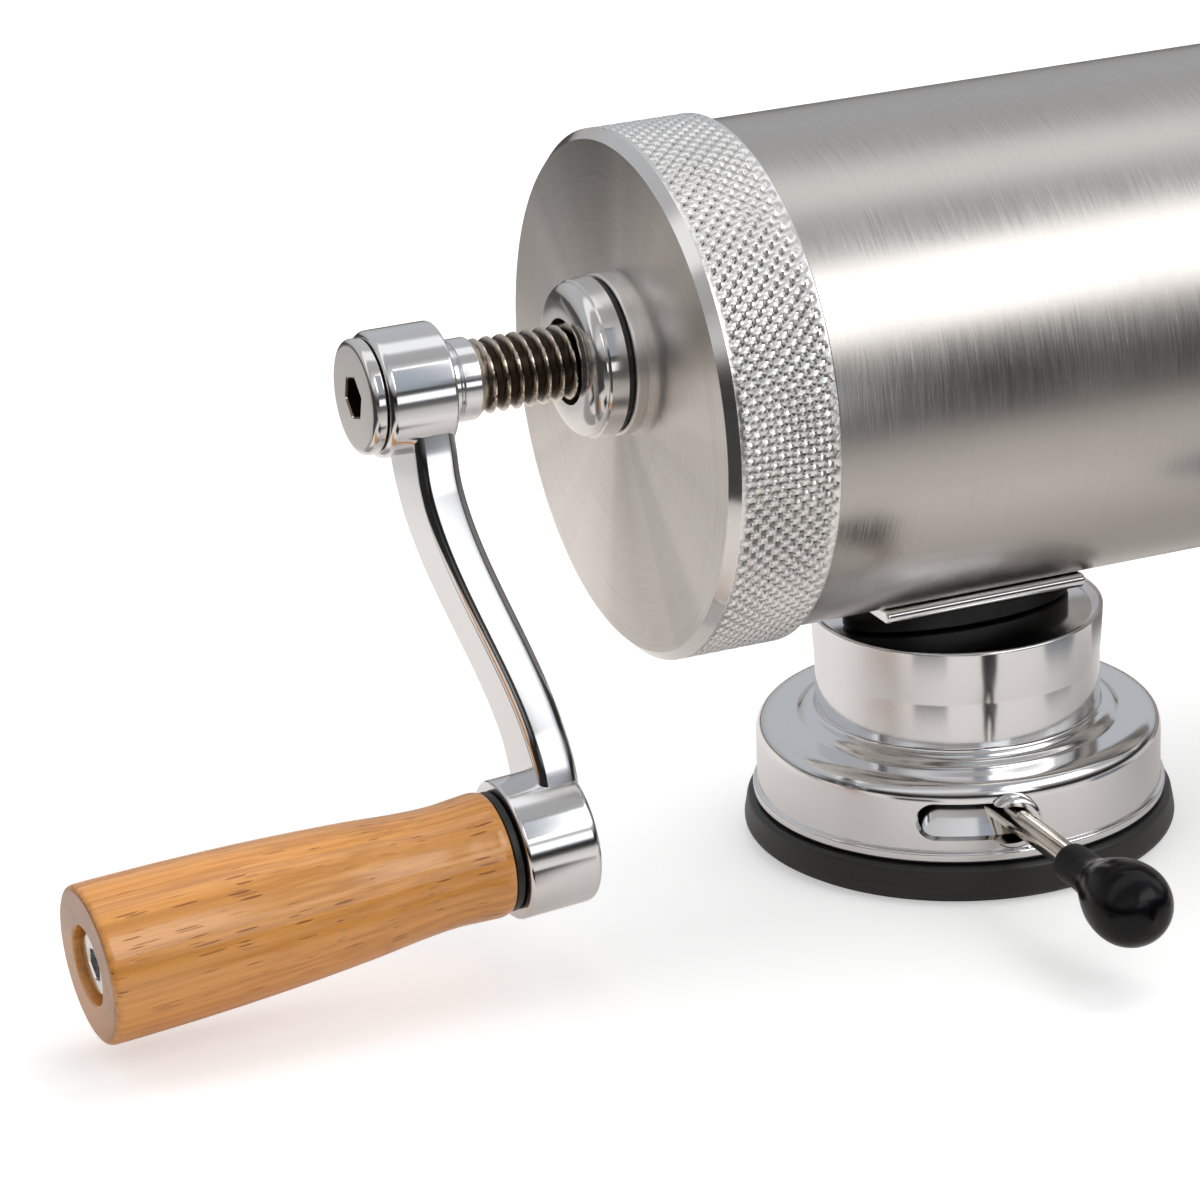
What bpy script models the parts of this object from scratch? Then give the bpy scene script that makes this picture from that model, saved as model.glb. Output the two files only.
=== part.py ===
"""Horizontal screw-press sausage stuffer on a suction base.

Metres, +Z up. The origin is the centre of the suction pad's underside, on the
table. The barrel lies along X: the crank is at -X, the filling nozzle at +X.
"""
import math

import bmesh
import bpy
from mathutils import Matrix, Vector

# Shared clearances and facet counts
GAP = 0.0003
CUT_OVERRUN = 0.002
WELD = 0.000001
SMOOTH_ANGLE = math.radians(32)
SLOPE_SHARE = 0.01
FINE_STEPS = 40
ROUND_STEPS = 24
SMALL_STEPS = 12
FILLET_STEPS = 2

# Barrel, lying along X above the base
BARREL_RADIUS = 0.0450
BARREL_WALL = 0.0012
BARREL_REAR = -0.0591
BARREL_LENGTH = 0.1750

# Knurled rear cap and its gasket
CAP_WALL = 0.0017
CAP_DEPTH = 0.0204
CAP_PLATE = 0.0047
CAP_BEVEL = 0.0017
CAP_RIM_ROUND = 0.0004
GASKET_THICKNESS = 0.0010
GASKET_WIDTH = 0.0050

# Off-centre boss of the rear cap, with the threaded bush and the gland nut
SCREW_RISE = 0.0080
BOSS_RADIUS = 0.0142
BOSS_HEIGHT = 0.0022
BUSH_RADIUS = 0.0105
BUSH_LENGTH = 0.0140
BUSH_FLANGE_RADIUS = 0.0130
BUSH_FLANGE = 0.0020
GLAND_RING_RADIUS = 0.0135
GLAND_RING_THICKNESS = 0.0009
GLAND_RADIUS = 0.0141
GLAND_LENGTH = 0.0060
GLAND_DOME = 0.0032
GLAND_BORE = 0.0076

# Lead screw, its swivel journal and the square end that carries the crank
SCREW_RADIUS = 0.0066
SCREW_EXPOSED = 0.0174
SPACER_RADIUS = 0.0072
SPACER_LENGTH = 0.0062
TANG_SIDE = 0.0090
TANG_LENGTH = 0.0078
JOURNAL_RADIUS = 0.0045
JOURNAL_SCREW_RADIUS = 0.0020
JOURNAL_SCREW_DEPTH = 0.0080
KEEPER_RADIUS = 0.0080
KEEPER_THICKNESS = 0.0014
KEEPER_SCREW_HEAD_RADIUS = 0.0038
KEEPER_SCREW_HEAD = 0.0018

# Piston: two plates that clamp a rubber ring
PISTON_CLEARANCE = 0.0004
PISTON_FRONT_THICKNESS = 0.0065
PISTON_BACK_THICKNESS = 0.0040
PISTON_SEAL_WIDTH = 0.0030
PISTON_SEAL_DEPTH = 0.0034
PISTON_BOSS_RADIUS = 0.0105
PISTON_BOSS_LENGTH = 0.0070
PISTON_END_CLEARANCE = 0.0010
PISTON_BOLT_INSET = 0.0150
PISTON_BOLT_COUNT = 3
PISTON_BOLT_RADIUS = 0.0020
PISTON_BOLT_HEAD_RADIUS = 0.0036
PISTON_BOLT_HEAD = 0.0024
PISTON_BOLT_DEPTH = 0.0040

# Crank casting
CRANK_RADIUS = 0.0808
CRANK_ANGLE = math.radians(15)
PIN_SPLAY = math.radians(3.6)
UPPER_HUB_RADIUS = 0.0110
UPPER_HUB_LENGTH = 0.0124
LOWER_HUB_RADIUS = 0.0124
LOWER_HUB_LENGTH = 0.0136
PIN_INSET = 0.0126
HUB_ROUND = 0.0014
ARM_WIDTH = 0.0144
ARM_THICKNESS = 0.0076
ARM_CORNER = 0.0024
ARM_FLARE = 0.0030
ARM_FLARE_LENGTH = 0.0070
ARM_HUB_INSET = 0.0002
ARM_BEND_START_SHARE = 0.16
ARM_BEND_END_SHARE = 0.88
ARM_STATIONS = 18
ARM_CORNER_STEPS = 3
ARM_ROOT_SHARE = 0.5

# Screw that holds the crank on the square end
END_SCREW_RADIUS = 0.0100
END_SCREW_HEAD = 0.0024
END_SCREW_NECK_RADIUS = 0.0042
END_SCREW_SHANK_RADIUS = 0.0025
END_SCREW_SHANK_LENGTH = 0.0060
END_SOCKET_SPAN = 0.0066
END_SOCKET_DEPTH = 0.0045

# Turned grip and its shoulder bolt
GRIP_LENGTH = 0.0740
GRIP_RADIUS = 0.0139
GRIP_BORE = 0.0046
GRIP_COUNTERBORE = 0.0069
GRIP_COUNTERBORE_DEPTH = 0.0090
GRIP_EDGE = 0.0014
GRIP_WASHER_RADIUS = 0.0106
GRIP_WASHER_THICKNESS = 0.0014
SPINDLE_RADIUS = 0.0040
SPINDLE_HEAD_RADIUS = 0.0058
SPINDLE_HEAD = 0.0050
SPINDLE_SOCKET_SPAN = 0.0050
SPINDLE_SOCKET_DEPTH = 0.0028
SPINDLE_THREAD_DEPTH = 0.0110
HEAD_WASHER_RADIUS = 0.0062
HEAD_WASHER_THICKNESS = 0.0010
GRIP_PROFILE_SHARES = (
    (0.020, 0.800),
    (0.060, 0.790),
    (0.130, 0.772),
    (0.220, 0.800),
    (0.340, 0.864),
    (0.480, 0.918),
    (0.620, 0.958),
    (0.760, 0.984),
    (0.900, 0.998),
)

# Front ring, gasket and nozzle
RING_DEPTH = 0.0180
RING_LIP = 0.0030
RING_LIP_WIDTH = 0.0060
RING_BEVEL = 0.0017
NOZZLE_FLANGE = 0.0016
NOZZLE_WALL = 0.0010
NOZZLE_SHOULDER_WIDTH = 0.0150
NOZZLE_CONE_LENGTH = 0.0200
NOZZLE_ROOT_RADIUS = 0.0100
NOZZLE_TIP_RADIUS = 0.0085
NOZZLE_TUBE_LENGTH = 0.0900

# Suction pad
PAD_SHOW = 0.0032
PAD_FOOT_INSET = 0.0034
PAD_WIDEST_HEIGHT = 0.0036
PAD_HEIGHT = 0.0078
PAD_TOP_INSET = 0.0014
PAD_EDGE = 0.0012
PAD_RIM_WIDTH = 0.0060
PAD_FLOOR = 0.0034
PAD_BOSS_RADIUS = 0.0120
PAD_BOSS_HEIGHT = 0.0058

# Spun base housing: rolled lip, flange, foot fillet, pedestal and dished top
HOUSING_WALL = 0.0020
LIP_WIDTH = 0.0008
LIP_HEIGHT = 0.0020
FLANGE_RADIUS = 0.0370
FLANGE_DEPTH = 0.0145
FLANGE_ROUND = 0.0038
FOOT_WIDTH = 0.0020
FOOT_RISE = 0.0014
PEDESTAL_RADIUS = 0.0260
PEDESTAL_FLARE = 0.0006
PEDESTAL_RISE = 0.0192
FOOT_FILLET = 0.0030
RIM_WIDTH = 0.0020
DISH_DEPTH = 0.0012
TOP_PLATE = 0.0030

# Lever slot and the raised boss round its resting end
LEVER_RISE = 0.0072
SLOT_HEIGHT = 0.0070
LEVER_SWING = math.radians(22)
SLOT_END_CLEARANCE = 0.0012
LEVER_BOSS_RADIUS = 0.0050
LEVER_BOSS_REACH = 0.0024
LEVER_BOSS_EDGE = 0.0010

# Saddle between the pedestal and the barrel
SADDLE_RISE = 0.0022
SADDLE_LENGTH = 0.0400
SADDLE_THICKNESS = 0.0026
SADDLE_HALF_ANGLE = math.radians(21)
SADDLE_SHIFT = -0.0023
SADDLE_FOOT_LENGTH = 0.0300
SADDLE_FOOT_WIDTH = 0.0170
SADDLE_STEPS = 12
SADDLE_SCREW_SPACING = 0.0180
SADDLE_SCREW_RADIUS = 0.0020
SADDLE_SCREW_HEAD_RADIUS = 0.0036
SADDLE_SCREW_HEAD = 0.0024
SADDLE_SCREW_DEPTH = 0.0030

# Suction mechanism inside the housing
GUIDE_THICKNESS = 0.0020
GUIDE_SKIRT = 0.0018
STEM_RADIUS = 0.0030
STEM_HEAD_RADIUS = 0.0080
STEM_HEAD = 0.0018
STEM_PROUD = 0.0015
CAM_INSET = 0.0155
CAM_THICKNESS = 0.0080
LIFT_RADIUS = 0.0120
LIFT_THICKNESS = 0.0030
NUT_SPAN = 0.0080
NUT_THICKNESS = 0.0040

# Lever rod and its knob
ROD_RADIUS = 0.0020
ROD_OFFSET = 0.0080
ROD_INNER = 0.0135
ROD_STATIONS = 12
ROD_RISE = 0.0010
KNOB_START = 0.0572
KNOB_BALL_RADIUS = 0.0074
KNOB_LENGTH = 0.0298
KNOB_SOCKET_DEPTH = 0.0160
KNOB_PROFILE_SHARES = (
    (0.00, 0.44),
    (0.03, 0.48),
    (0.22, 0.49),
    (0.34, 0.58),
    (0.46, 0.78),
    (0.58, 0.94),
    (0.70, 1.00),
    (0.80, 0.95),
    (0.89, 0.78),
    (0.96, 0.49),
)

# Places worked out from the sizes above
HOUSING_BOTTOM = PAD_HEIGHT + GAP
HOUSING_BORE = FLANGE_RADIUS - HOUSING_WALL
LIP_RADIUS = FLANGE_RADIUS + LIP_WIDTH
PAD_RADIUS = FLANGE_RADIUS + PAD_SHOW
FLANGE_TOP_HEIGHT = HOUSING_BOTTOM + FLANGE_DEPTH
FOOT_RADIUS = PEDESTAL_RADIUS + FOOT_WIDTH
FOOT_HEIGHT = FLANGE_TOP_HEIGHT + FOOT_RISE
PEDESTAL_TOP_RADIUS = PEDESTAL_RADIUS + PEDESTAL_FLARE
PEDESTAL_TOP_HEIGHT = FOOT_HEIGHT + PEDESTAL_RISE
DISH_HEIGHT = PEDESTAL_TOP_HEIGHT - DISH_DEPTH
CEILING = DISH_HEIGHT - TOP_PLATE
LEVER_HEIGHT = HOUSING_BOTTOM + LEVER_RISE
SLOT_REST_ANGLE = -math.pi / 2 - math.asin(ROD_OFFSET / FLANGE_RADIUS)
SLOT_FAR_ANGLE = SLOT_REST_ANGLE - LEVER_SWING
CAM_BOTTOM = LEVER_HEIGHT - CAM_THICKNESS / 2
LIFT_BOTTOM = CAM_BOTTOM + CAM_THICKNESS + GAP
NUT_BOTTOM = LIFT_BOTTOM + LIFT_THICKNESS + GAP
BARREL_AXIS_HEIGHT = PEDESTAL_TOP_HEIGHT + SADDLE_RISE + SADDLE_THICKNESS + GAP + BARREL_RADIUS
BARREL_FRONT = BARREL_REAR + BARREL_LENGTH
CAP_RADIUS = BARREL_RADIUS + CAP_WALL
BARREL_BORE = BARREL_RADIUS - BARREL_WALL
SCREW_HEIGHT = BARREL_AXIS_HEIGHT + SCREW_RISE
CAP_INNER_FACE = BARREL_REAR - GASKET_THICKNESS - 2 * GAP
CAP_FACE = CAP_INNER_FACE - CAP_PLATE
BOSS_FACE = CAP_FACE - BOSS_HEIGHT
GLAND_REAR = BOSS_FACE - GLAND_RING_THICKNESS - 2 * GAP
GLAND_FACE = GLAND_REAR - GLAND_LENGTH
SPACER_FRONT = GLAND_FACE - SCREW_EXPOSED
SPACER_REAR = SPACER_FRONT - SPACER_LENGTH
HUB_FRONT = SPACER_REAR - GAP
HUB_REAR = HUB_FRONT - UPPER_HUB_LENGTH
FEED_FORWARD = SCREW_EXPOSED - 2 * GAP
PISTON_FACE = BARREL_FRONT - PISTON_END_CLEARANCE - FEED_FORWARD
PISTON_JOINT = PISTON_FACE - PISTON_FRONT_THICKNESS
PISTON_BACK = PISTON_JOINT - GAP - PISTON_BACK_THICKNESS
PISTON_BOSS_END = PISTON_BACK - PISTON_BOSS_LENGTH
PISTON_RADIUS = BARREL_BORE - PISTON_CLEARANCE
SCREW_FRONT = PISTON_BOSS_END - GAP
PIN_X = (HUB_FRONT + HUB_REAR) / 2 + PIN_INSET
NOZZLE_REAR = BARREL_FRONT + GASKET_THICKNESS + 2 * GAP
NOZZLE_SHOULDER = NOZZLE_REAR + NOZZLE_FLANGE
NOZZLE_CONE_RADIUS = BARREL_RADIUS - NOZZLE_SHOULDER_WIDTH


def finish(obj, name, colour, roughness, metallic):
    """Give an object its own material."""
    material = bpy.data.materials.new(name)
    material.use_nodes = True
    shader = material.node_tree.nodes["Principled BSDF"]
    shader.inputs["Base Color"].default_value = (*colour, 1)
    shader.inputs["Roughness"].default_value = roughness
    shader.inputs["Metallic"].default_value = metallic
    obj.data.materials.append(material)


FINISHES = {
    "brushed_steel": ((0.62, 0.60, 0.58), 0.34, 1.0),
    "polished_steel": ((0.78, 0.77, 0.76), 0.12, 1.0),
    "chrome": ((0.82, 0.82, 0.83), 0.06, 1.0),
    "bronze": ((0.42, 0.34, 0.26), 0.30, 1.0),
    "brass": ((0.70, 0.52, 0.24), 0.30, 1.0),
    "beech": ((0.62, 0.34, 0.14), 0.38, 0.0),
    "rubber": ((0.02, 0.02, 0.02), 0.60, 0.0),
    "gloss_black": ((0.01, 0.01, 0.012), 0.18, 0.0),
}


def clear_scene():
    """Start from an empty scene."""
    for obj in list(bpy.data.objects):
        bpy.data.objects.remove(obj, do_unlink=True)


def frame(name, location, rotation=(0, 0, 0), parent=None):
    """An empty on a joint's axis, which carries the pieces that turn with it."""
    empty = bpy.data.objects.new(name, None)
    empty.location = location
    empty.rotation_euler = rotation
    empty.parent = parent
    bpy.context.scene.collection.objects.link(empty)
    return empty


def object_from(name, mesh_builder, finish_name=None, parent=None, location=(0, 0, 0)):
    """Turn a bmesh into a smooth-shaded object, with a material if it is a piece."""
    bmesh.ops.remove_doubles(mesh_builder, verts=mesh_builder.verts, dist=WELD)
    bmesh.ops.recalc_face_normals(mesh_builder, faces=mesh_builder.faces)
    mesh = bpy.data.meshes.new(name)
    mesh_builder.to_mesh(mesh)
    mesh_builder.free()
    mesh.shade_smooth()
    mesh.set_sharp_from_angle(angle=SMOOTH_ANGLE)
    obj = bpy.data.objects.new(name, mesh)
    obj.location = location
    obj.parent = parent
    bpy.context.scene.collection.objects.link(obj)
    if finish_name:
        finish(obj, name, *FINISHES[finish_name])
    return obj


def rounded(corners, closed=True, steps=FILLET_STEPS):
    """Points of an outline whose corners, (u, v, fillet radius), are rounded."""
    points = []
    count = len(corners)
    for index, (u, v, fillet) in enumerate(corners):
        corner = Vector((u, v))
        end_point = not closed and index in (0, count - 1)
        if fillet == 0 or end_point:
            points.append(corner)
            continue
        before = Vector(corners[index - 1][:2]) - corner
        after = Vector(corners[(index + 1) % count][:2]) - corner
        turn = before.angle(after)
        reach = min(fillet / math.tan(turn / 2), before.length / 2, after.length / 2)
        start = corner + before.normalized() * reach
        end = corner + after.normalized() * reach
        for step in range(steps + 1):
            share = step / steps
            points.append((1 - share) ** 2 * start + 2 * share * (1 - share) * corner + share ** 2 * end)
    return points


def turned(
    name, outline, finish_name=None, axis="X", closed=True, steps=ROUND_STEPS, parent=None, location=(0, 0, 0)
):
    """Revolve an outline of (place along the axis, radius) points round X or Z."""
    shape = bmesh.new()
    if axis == "X":
        verts = [shape.verts.new((along, 0, radius)) for along, radius in outline]
        direction = Vector((1, 0, 0))
    else:
        verts = [shape.verts.new((radius, 0, along)) for along, radius in outline]
        direction = Vector((0, 0, 1))
    pairs = list(zip(verts, verts[1:]))
    if closed:
        pairs.append((verts[-1], verts[0]))
    edges = [shape.edges.new(pair) for pair in pairs]
    bmesh.ops.spin(
        shape,
        geom=verts + edges,
        cent=(0, 0, 0),
        axis=direction,
        angle=math.tau,
        steps=steps,
        use_merge=True,
    )
    bmesh.ops.remove_doubles(shape, verts=shape.verts, dist=WELD)
    cap_centres = [vert for vert in shape.verts if vert.co.cross(direction).length < WELD]
    bmesh.ops.dissolve_verts(shape, verts=cap_centres)
    return object_from(name, shape, finish_name, parent, location)


def ring(inner, outer, start, end, edge=0):
    """Outline of a plain ring or sleeve with eased outer edges."""
    corners = [(start, inner, 0), (start, outer, edge), (end, outer, edge), (end, inner, 0)]
    return rounded(corners, steps=1)


def disc(radius, start, end, edge=0):
    """Open outline of a solid round plate or rod, from axis to axis."""
    corners = [(start, 0, 0), (start, radius, edge), (end, radius, edge), (end, 0, 0)]
    return rounded(corners, closed=False, steps=1)


def prism(name, sides, span, start, end, finish_name=None, axis="X", parent=None, location=(0, 0, 0)):
    """Regular prism whose flats are span apart, along X or Z."""
    shape = bmesh.new()
    corner_radius = span / 2 / math.cos(math.pi / sides)
    turn = math.pi / sides
    ends = []
    for along in (start, end):
        ring_verts = []
        for index in range(sides):
            angle = turn + math.tau * index / sides
            across = corner_radius * math.cos(angle)
            up = corner_radius * math.sin(angle)
            place = (along, across, up) if axis == "X" else (across, up, along)
            ring_verts.append(shape.verts.new(place))
        ends.append(ring_verts)
    bridge(shape, ends)
    return object_from(name, shape, finish_name, parent, location)


def bridge(shape, rings):
    """Join rings of vertices side by side and cap the first and the last."""
    for first, second in zip(rings, rings[1:]):
        count = len(first)
        for index in range(count):
            after = (index + 1) % count
            shape.faces.new((first[index], first[after], second[after], second[index]))
    shape.faces.new(rings[0])
    shape.faces.new(rings[-1])


def combine(obj, other, operation):
    """Cut a helper shape from an object, or join it on; the helper isn't a piece."""
    other.hide_render = True
    other.display_type = "WIRE"
    modifier = obj.modifiers.new(operation.title(), "BOOLEAN")
    modifier.operation = operation
    modifier.solver = "EXACT"
    modifier.object = other


def smoothstep(share):
    """Even S-shaped rise from 0 to 1."""
    share = min(max(share, 0), 1)
    return share * share * (3 - 2 * share)


def build_barrel():
    """Plain drawn tube."""
    outline = ring(BARREL_BORE, BARREL_RADIUS, BARREL_REAR, BARREL_FRONT)
    place = (0, 0, BARREL_AXIS_HEIGHT)
    turned("barrel", outline, "brushed_steel", steps=FINE_STEPS, location=place)


def build_rear_cap(axis):
    """Bevelled cap with a skirt over the barrel and an off-centre screw boss."""
    skirt_radius = BARREL_RADIUS + GAP
    corners = [
        (CAP_FACE, 0, 0),
        (CAP_FACE, CAP_RADIUS - CAP_BEVEL, 0),
        (CAP_FACE + CAP_BEVEL, CAP_RADIUS, 0),
        (CAP_FACE + CAP_DEPTH, CAP_RADIUS, CAP_RIM_ROUND),
        (CAP_FACE + CAP_DEPTH, skirt_radius, 0),
        (CAP_INNER_FACE, skirt_radius, 0),
        (CAP_INNER_FACE, 0, 0),
    ]
    outline = rounded(corners, closed=False, steps=1)
    cap = turned("rear_cap", outline, "brushed_steel", closed=False, steps=FINE_STEPS, parent=axis)
    screw_place = (0, 0, SCREW_RISE)
    boss_outline = disc(BOSS_RADIUS, BOSS_FACE, CAP_FACE + CAP_PLATE / 2, GAP)
    boss = turned("rear_cap_boss", boss_outline, closed=False, parent=axis, location=screw_place)
    bore_outline = disc(BUSH_RADIUS + GAP, BOSS_FACE - CUT_OVERRUN, CAP_INNER_FACE + CUT_OVERRUN)
    bore = turned("rear_cap_bore", bore_outline, closed=False, parent=axis, location=screw_place)
    combine(cap, boss, "UNION")
    combine(cap, bore, "DIFFERENCE")

    gasket = ring(BARREL_BORE - GASKET_WIDTH, BARREL_RADIUS, CAP_INNER_FACE + GAP, BARREL_REAR - GAP)
    turned("rear_gasket", gasket, "rubber", parent=axis)


def build_bush_and_gland(axis):
    """Threaded bush through the cap, its sealing ring and the domed gland nut."""
    screw_place = (0, 0, SCREW_RISE)
    bore = SCREW_RADIUS + GAP
    bush_corners = [
        (BOSS_FACE, bore, 0),
        (BOSS_FACE, BUSH_RADIUS, 0),
        (CAP_INNER_FACE + GAP, BUSH_RADIUS, 0),
        (CAP_INNER_FACE + GAP, BUSH_FLANGE_RADIUS, 0),
        (CAP_INNER_FACE + GAP + BUSH_FLANGE, BUSH_FLANGE_RADIUS, 0),
        (CAP_INNER_FACE + GAP + BUSH_FLANGE, BUSH_RADIUS, 0),
        (CAP_INNER_FACE + BUSH_LENGTH, BUSH_RADIUS, 0),
        (CAP_INNER_FACE + BUSH_LENGTH, bore, 0),
    ]
    turned("lead_nut", rounded(bush_corners, steps=1), "bronze", parent=axis, location=screw_place)

    seal = ring(GLAND_BORE, GLAND_RING_RADIUS, GLAND_REAR + GAP, BOSS_FACE - GAP)
    turned("gland_ring", seal, "rubber", parent=axis, location=screw_place)

    gland_corners = [
        (GLAND_REAR, GLAND_BORE, 0),
        (GLAND_REAR, GLAND_RADIUS, 0),
        (GLAND_FACE, GLAND_RADIUS, GLAND_DOME),
        (GLAND_FACE, GLAND_BORE, 0),
    ]
    gland = rounded(gland_corners, steps=2 * FILLET_STEPS)
    turned("gland_nut", gland, "polished_steel", parent=axis, location=screw_place)


def build_lead_screw(axis):
    """Screw with a journal in the piston and a square end in the crank."""
    tang_end = HUB_FRONT - TANG_LENGTH
    journal_end = PISTON_JOINT - GAP
    corners = [
        (HUB_FRONT - TANG_LENGTH / 2, 0, 0),
        (HUB_FRONT - TANG_LENGTH / 2, TANG_SIDE / 2, 0),
        (SPACER_FRONT, TANG_SIDE / 2, 0),
        (SPACER_FRONT, SCREW_RADIUS, 0),
        (SCREW_FRONT, SCREW_RADIUS, 0),
        (SCREW_FRONT, JOURNAL_RADIUS, 0),
        (journal_end, JOURNAL_RADIUS, 0),
        (journal_end, 0, 0),
    ]
    outline = rounded(corners, closed=False, steps=1)
    screw = turned("lead_screw", outline, "bronze", closed=False, parent=axis)
    tang = prism("lead_screw_tang", 4, TANG_SIDE, tang_end, HUB_FRONT, parent=axis)
    combine(screw, tang, "UNION")
    hole_end = tang_end + END_SCREW_SHANK_LENGTH
    rear_hole = disc(END_SCREW_SHANK_RADIUS + GAP, tang_end - CUT_OVERRUN, hole_end)
    hole = turned("lead_screw_rear_hole", rear_hole, closed=False, steps=SMALL_STEPS, parent=axis)
    combine(screw, hole, "DIFFERENCE")
    hole_start = journal_end - JOURNAL_SCREW_DEPTH
    front_hole = disc(JOURNAL_SCREW_RADIUS + GAP, hole_start, journal_end + CUT_OVERRUN)
    hole = turned("lead_screw_front_hole", front_hole, closed=False, steps=SMALL_STEPS, parent=axis)
    combine(screw, hole, "DIFFERENCE")

    spacer = ring(TANG_SIDE / 2 + GAP, SPACER_RADIUS, SPACER_REAR, SPACER_FRONT - GAP)
    turned("crank_spacer", spacer, "chrome", parent=axis)


def build_swivel(axis):
    """Washer and screw that keep the journal in the piston."""
    washer_start = PISTON_JOINT
    washer_end = washer_start + KEEPER_THICKNESS
    washer = ring(JOURNAL_SCREW_RADIUS + GAP, KEEPER_RADIUS, washer_start, washer_end)
    turned("swivel_washer", washer, "polished_steel", steps=SMALL_STEPS, parent=axis)
    shank_start = PISTON_JOINT - JOURNAL_SCREW_DEPTH + GAP
    head_start = washer_end + GAP
    corners = [
        (shank_start, 0, 0),
        (shank_start, JOURNAL_SCREW_RADIUS, 0),
        (head_start, JOURNAL_SCREW_RADIUS, 0),
        (head_start, KEEPER_SCREW_HEAD_RADIUS, 0),
        (head_start + KEEPER_SCREW_HEAD, KEEPER_SCREW_HEAD_RADIUS, GAP),
        (head_start + KEEPER_SCREW_HEAD, 0, 0),
    ]
    outline = rounded(corners, closed=False, steps=1)
    turned("swivel_screw", outline, "polished_steel", closed=False, steps=SMALL_STEPS, parent=axis)


def piston_bolt_places():
    """Centres of the piston's bolts, round the barrel's axis."""
    places = []
    reach = BARREL_RADIUS - PISTON_BOLT_INSET
    for index in range(PISTON_BOLT_COUNT):
        angle = math.tau * (2 * index + 1) / (2 * PISTON_BOLT_COUNT)
        places.append((0, reach * math.sin(angle), -reach * math.cos(angle)))
    return places


def build_piston(axis):
    """Front plate, backing plate with the off-centre swivel boss, seal and bolts."""
    screw_place = (0, 0, SCREW_RISE)
    seal_inner = PISTON_RADIUS - PISTON_SEAL_DEPTH
    seal_start = PISTON_JOINT
    seal_end = seal_start + PISTON_SEAL_WIDTH
    front_corners = [
        (PISTON_JOINT, 0, 0),
        (PISTON_JOINT, seal_inner - GAP, 0),
        (seal_end + GAP, seal_inner - GAP, 0),
        (seal_end + GAP, PISTON_RADIUS, 0),
        (PISTON_FACE, PISTON_RADIUS, 3 * GAP),
        (PISTON_FACE, 0, 0),
    ]
    outline = rounded(front_corners, closed=False, steps=1)
    front = turned("piston_front", outline, "polished_steel", closed=False, steps=FINE_STEPS, parent=axis)
    pocket_end = PISTON_JOINT + KEEPER_THICKNESS + KEEPER_SCREW_HEAD + 3 * GAP
    pocket_outline = disc(KEEPER_RADIUS + GAP, PISTON_JOINT - CUT_OVERRUN, pocket_end)
    pocket = turned("piston_pocket", pocket_outline, closed=False, parent=axis, location=screw_place)
    combine(front, pocket, "DIFFERENCE")

    seal = ring(seal_inner, BARREL_BORE - GAP / 2, seal_start, seal_end)
    turned("piston_seal", seal, "rubber", steps=FINE_STEPS, parent=axis)

    plate = disc(PISTON_RADIUS, PISTON_BACK, PISTON_JOINT - GAP)
    backing = turned("piston_backing", plate, "polished_steel", closed=False, steps=FINE_STEPS, parent=axis)
    boss_outline = disc(PISTON_BOSS_RADIUS, PISTON_BOSS_END, PISTON_BACK + PISTON_BACK_THICKNESS / 2, GAP)
    boss = turned("piston_boss", boss_outline, closed=False, parent=axis, location=screw_place)
    combine(backing, boss, "UNION")
    bore_outline = disc(JOURNAL_RADIUS + GAP, PISTON_BOSS_END - CUT_OVERRUN, PISTON_JOINT + CUT_OVERRUN)
    bore = turned("piston_bore", bore_outline, closed=False, parent=axis, location=screw_place)
    combine(backing, bore, "DIFFERENCE")

    shank_end = PISTON_JOINT + PISTON_BOLT_DEPTH
    hole_outline = disc(PISTON_BOLT_RADIUS + GAP, PISTON_BACK - CUT_OVERRUN, shank_end + GAP)
    head_end = PISTON_BACK - GAP
    bolt_corners = [
        (head_end - PISTON_BOLT_HEAD, 0, 0),
        (head_end - PISTON_BOLT_HEAD, PISTON_BOLT_HEAD_RADIUS, GAP),
        (head_end, PISTON_BOLT_HEAD_RADIUS, 0),
        (head_end, PISTON_BOLT_RADIUS, 0),
        (shank_end, PISTON_BOLT_RADIUS, 0),
        (shank_end, 0, 0),
    ]
    bolt_outline = rounded(bolt_corners, closed=False, steps=1)
    for number, place in enumerate(piston_bolt_places(), start=1):
        name = f"piston_bolt_hole_{number}"
        hole = turned(name, hole_outline, closed=False, steps=SMALL_STEPS, parent=axis, location=place)
        combine(front, hole, "DIFFERENCE")
        combine(backing, hole, "DIFFERENCE")
        turned(
            f"piston_bolt_{number}", bolt_outline, "polished_steel", closed=False, steps=SMALL_STEPS,
            parent=axis, location=place,
        )


def arm_centre(share):
    """Middle of the arm's section at a share of the way from hub to hub."""
    upper = HUB_FRONT - ARM_HUB_INSET - ARM_THICKNESS / 2
    lower = PIN_X + LOWER_HUB_LENGTH / 2 - ARM_HUB_INSET - ARM_THICKNESS / 2
    bend = (share - ARM_BEND_START_SHARE) / (ARM_BEND_END_SHARE - ARM_BEND_START_SHARE)
    return Vector((upper + (lower - upper) * smoothstep(bend), 0, -CRANK_RADIUS * share))


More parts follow.
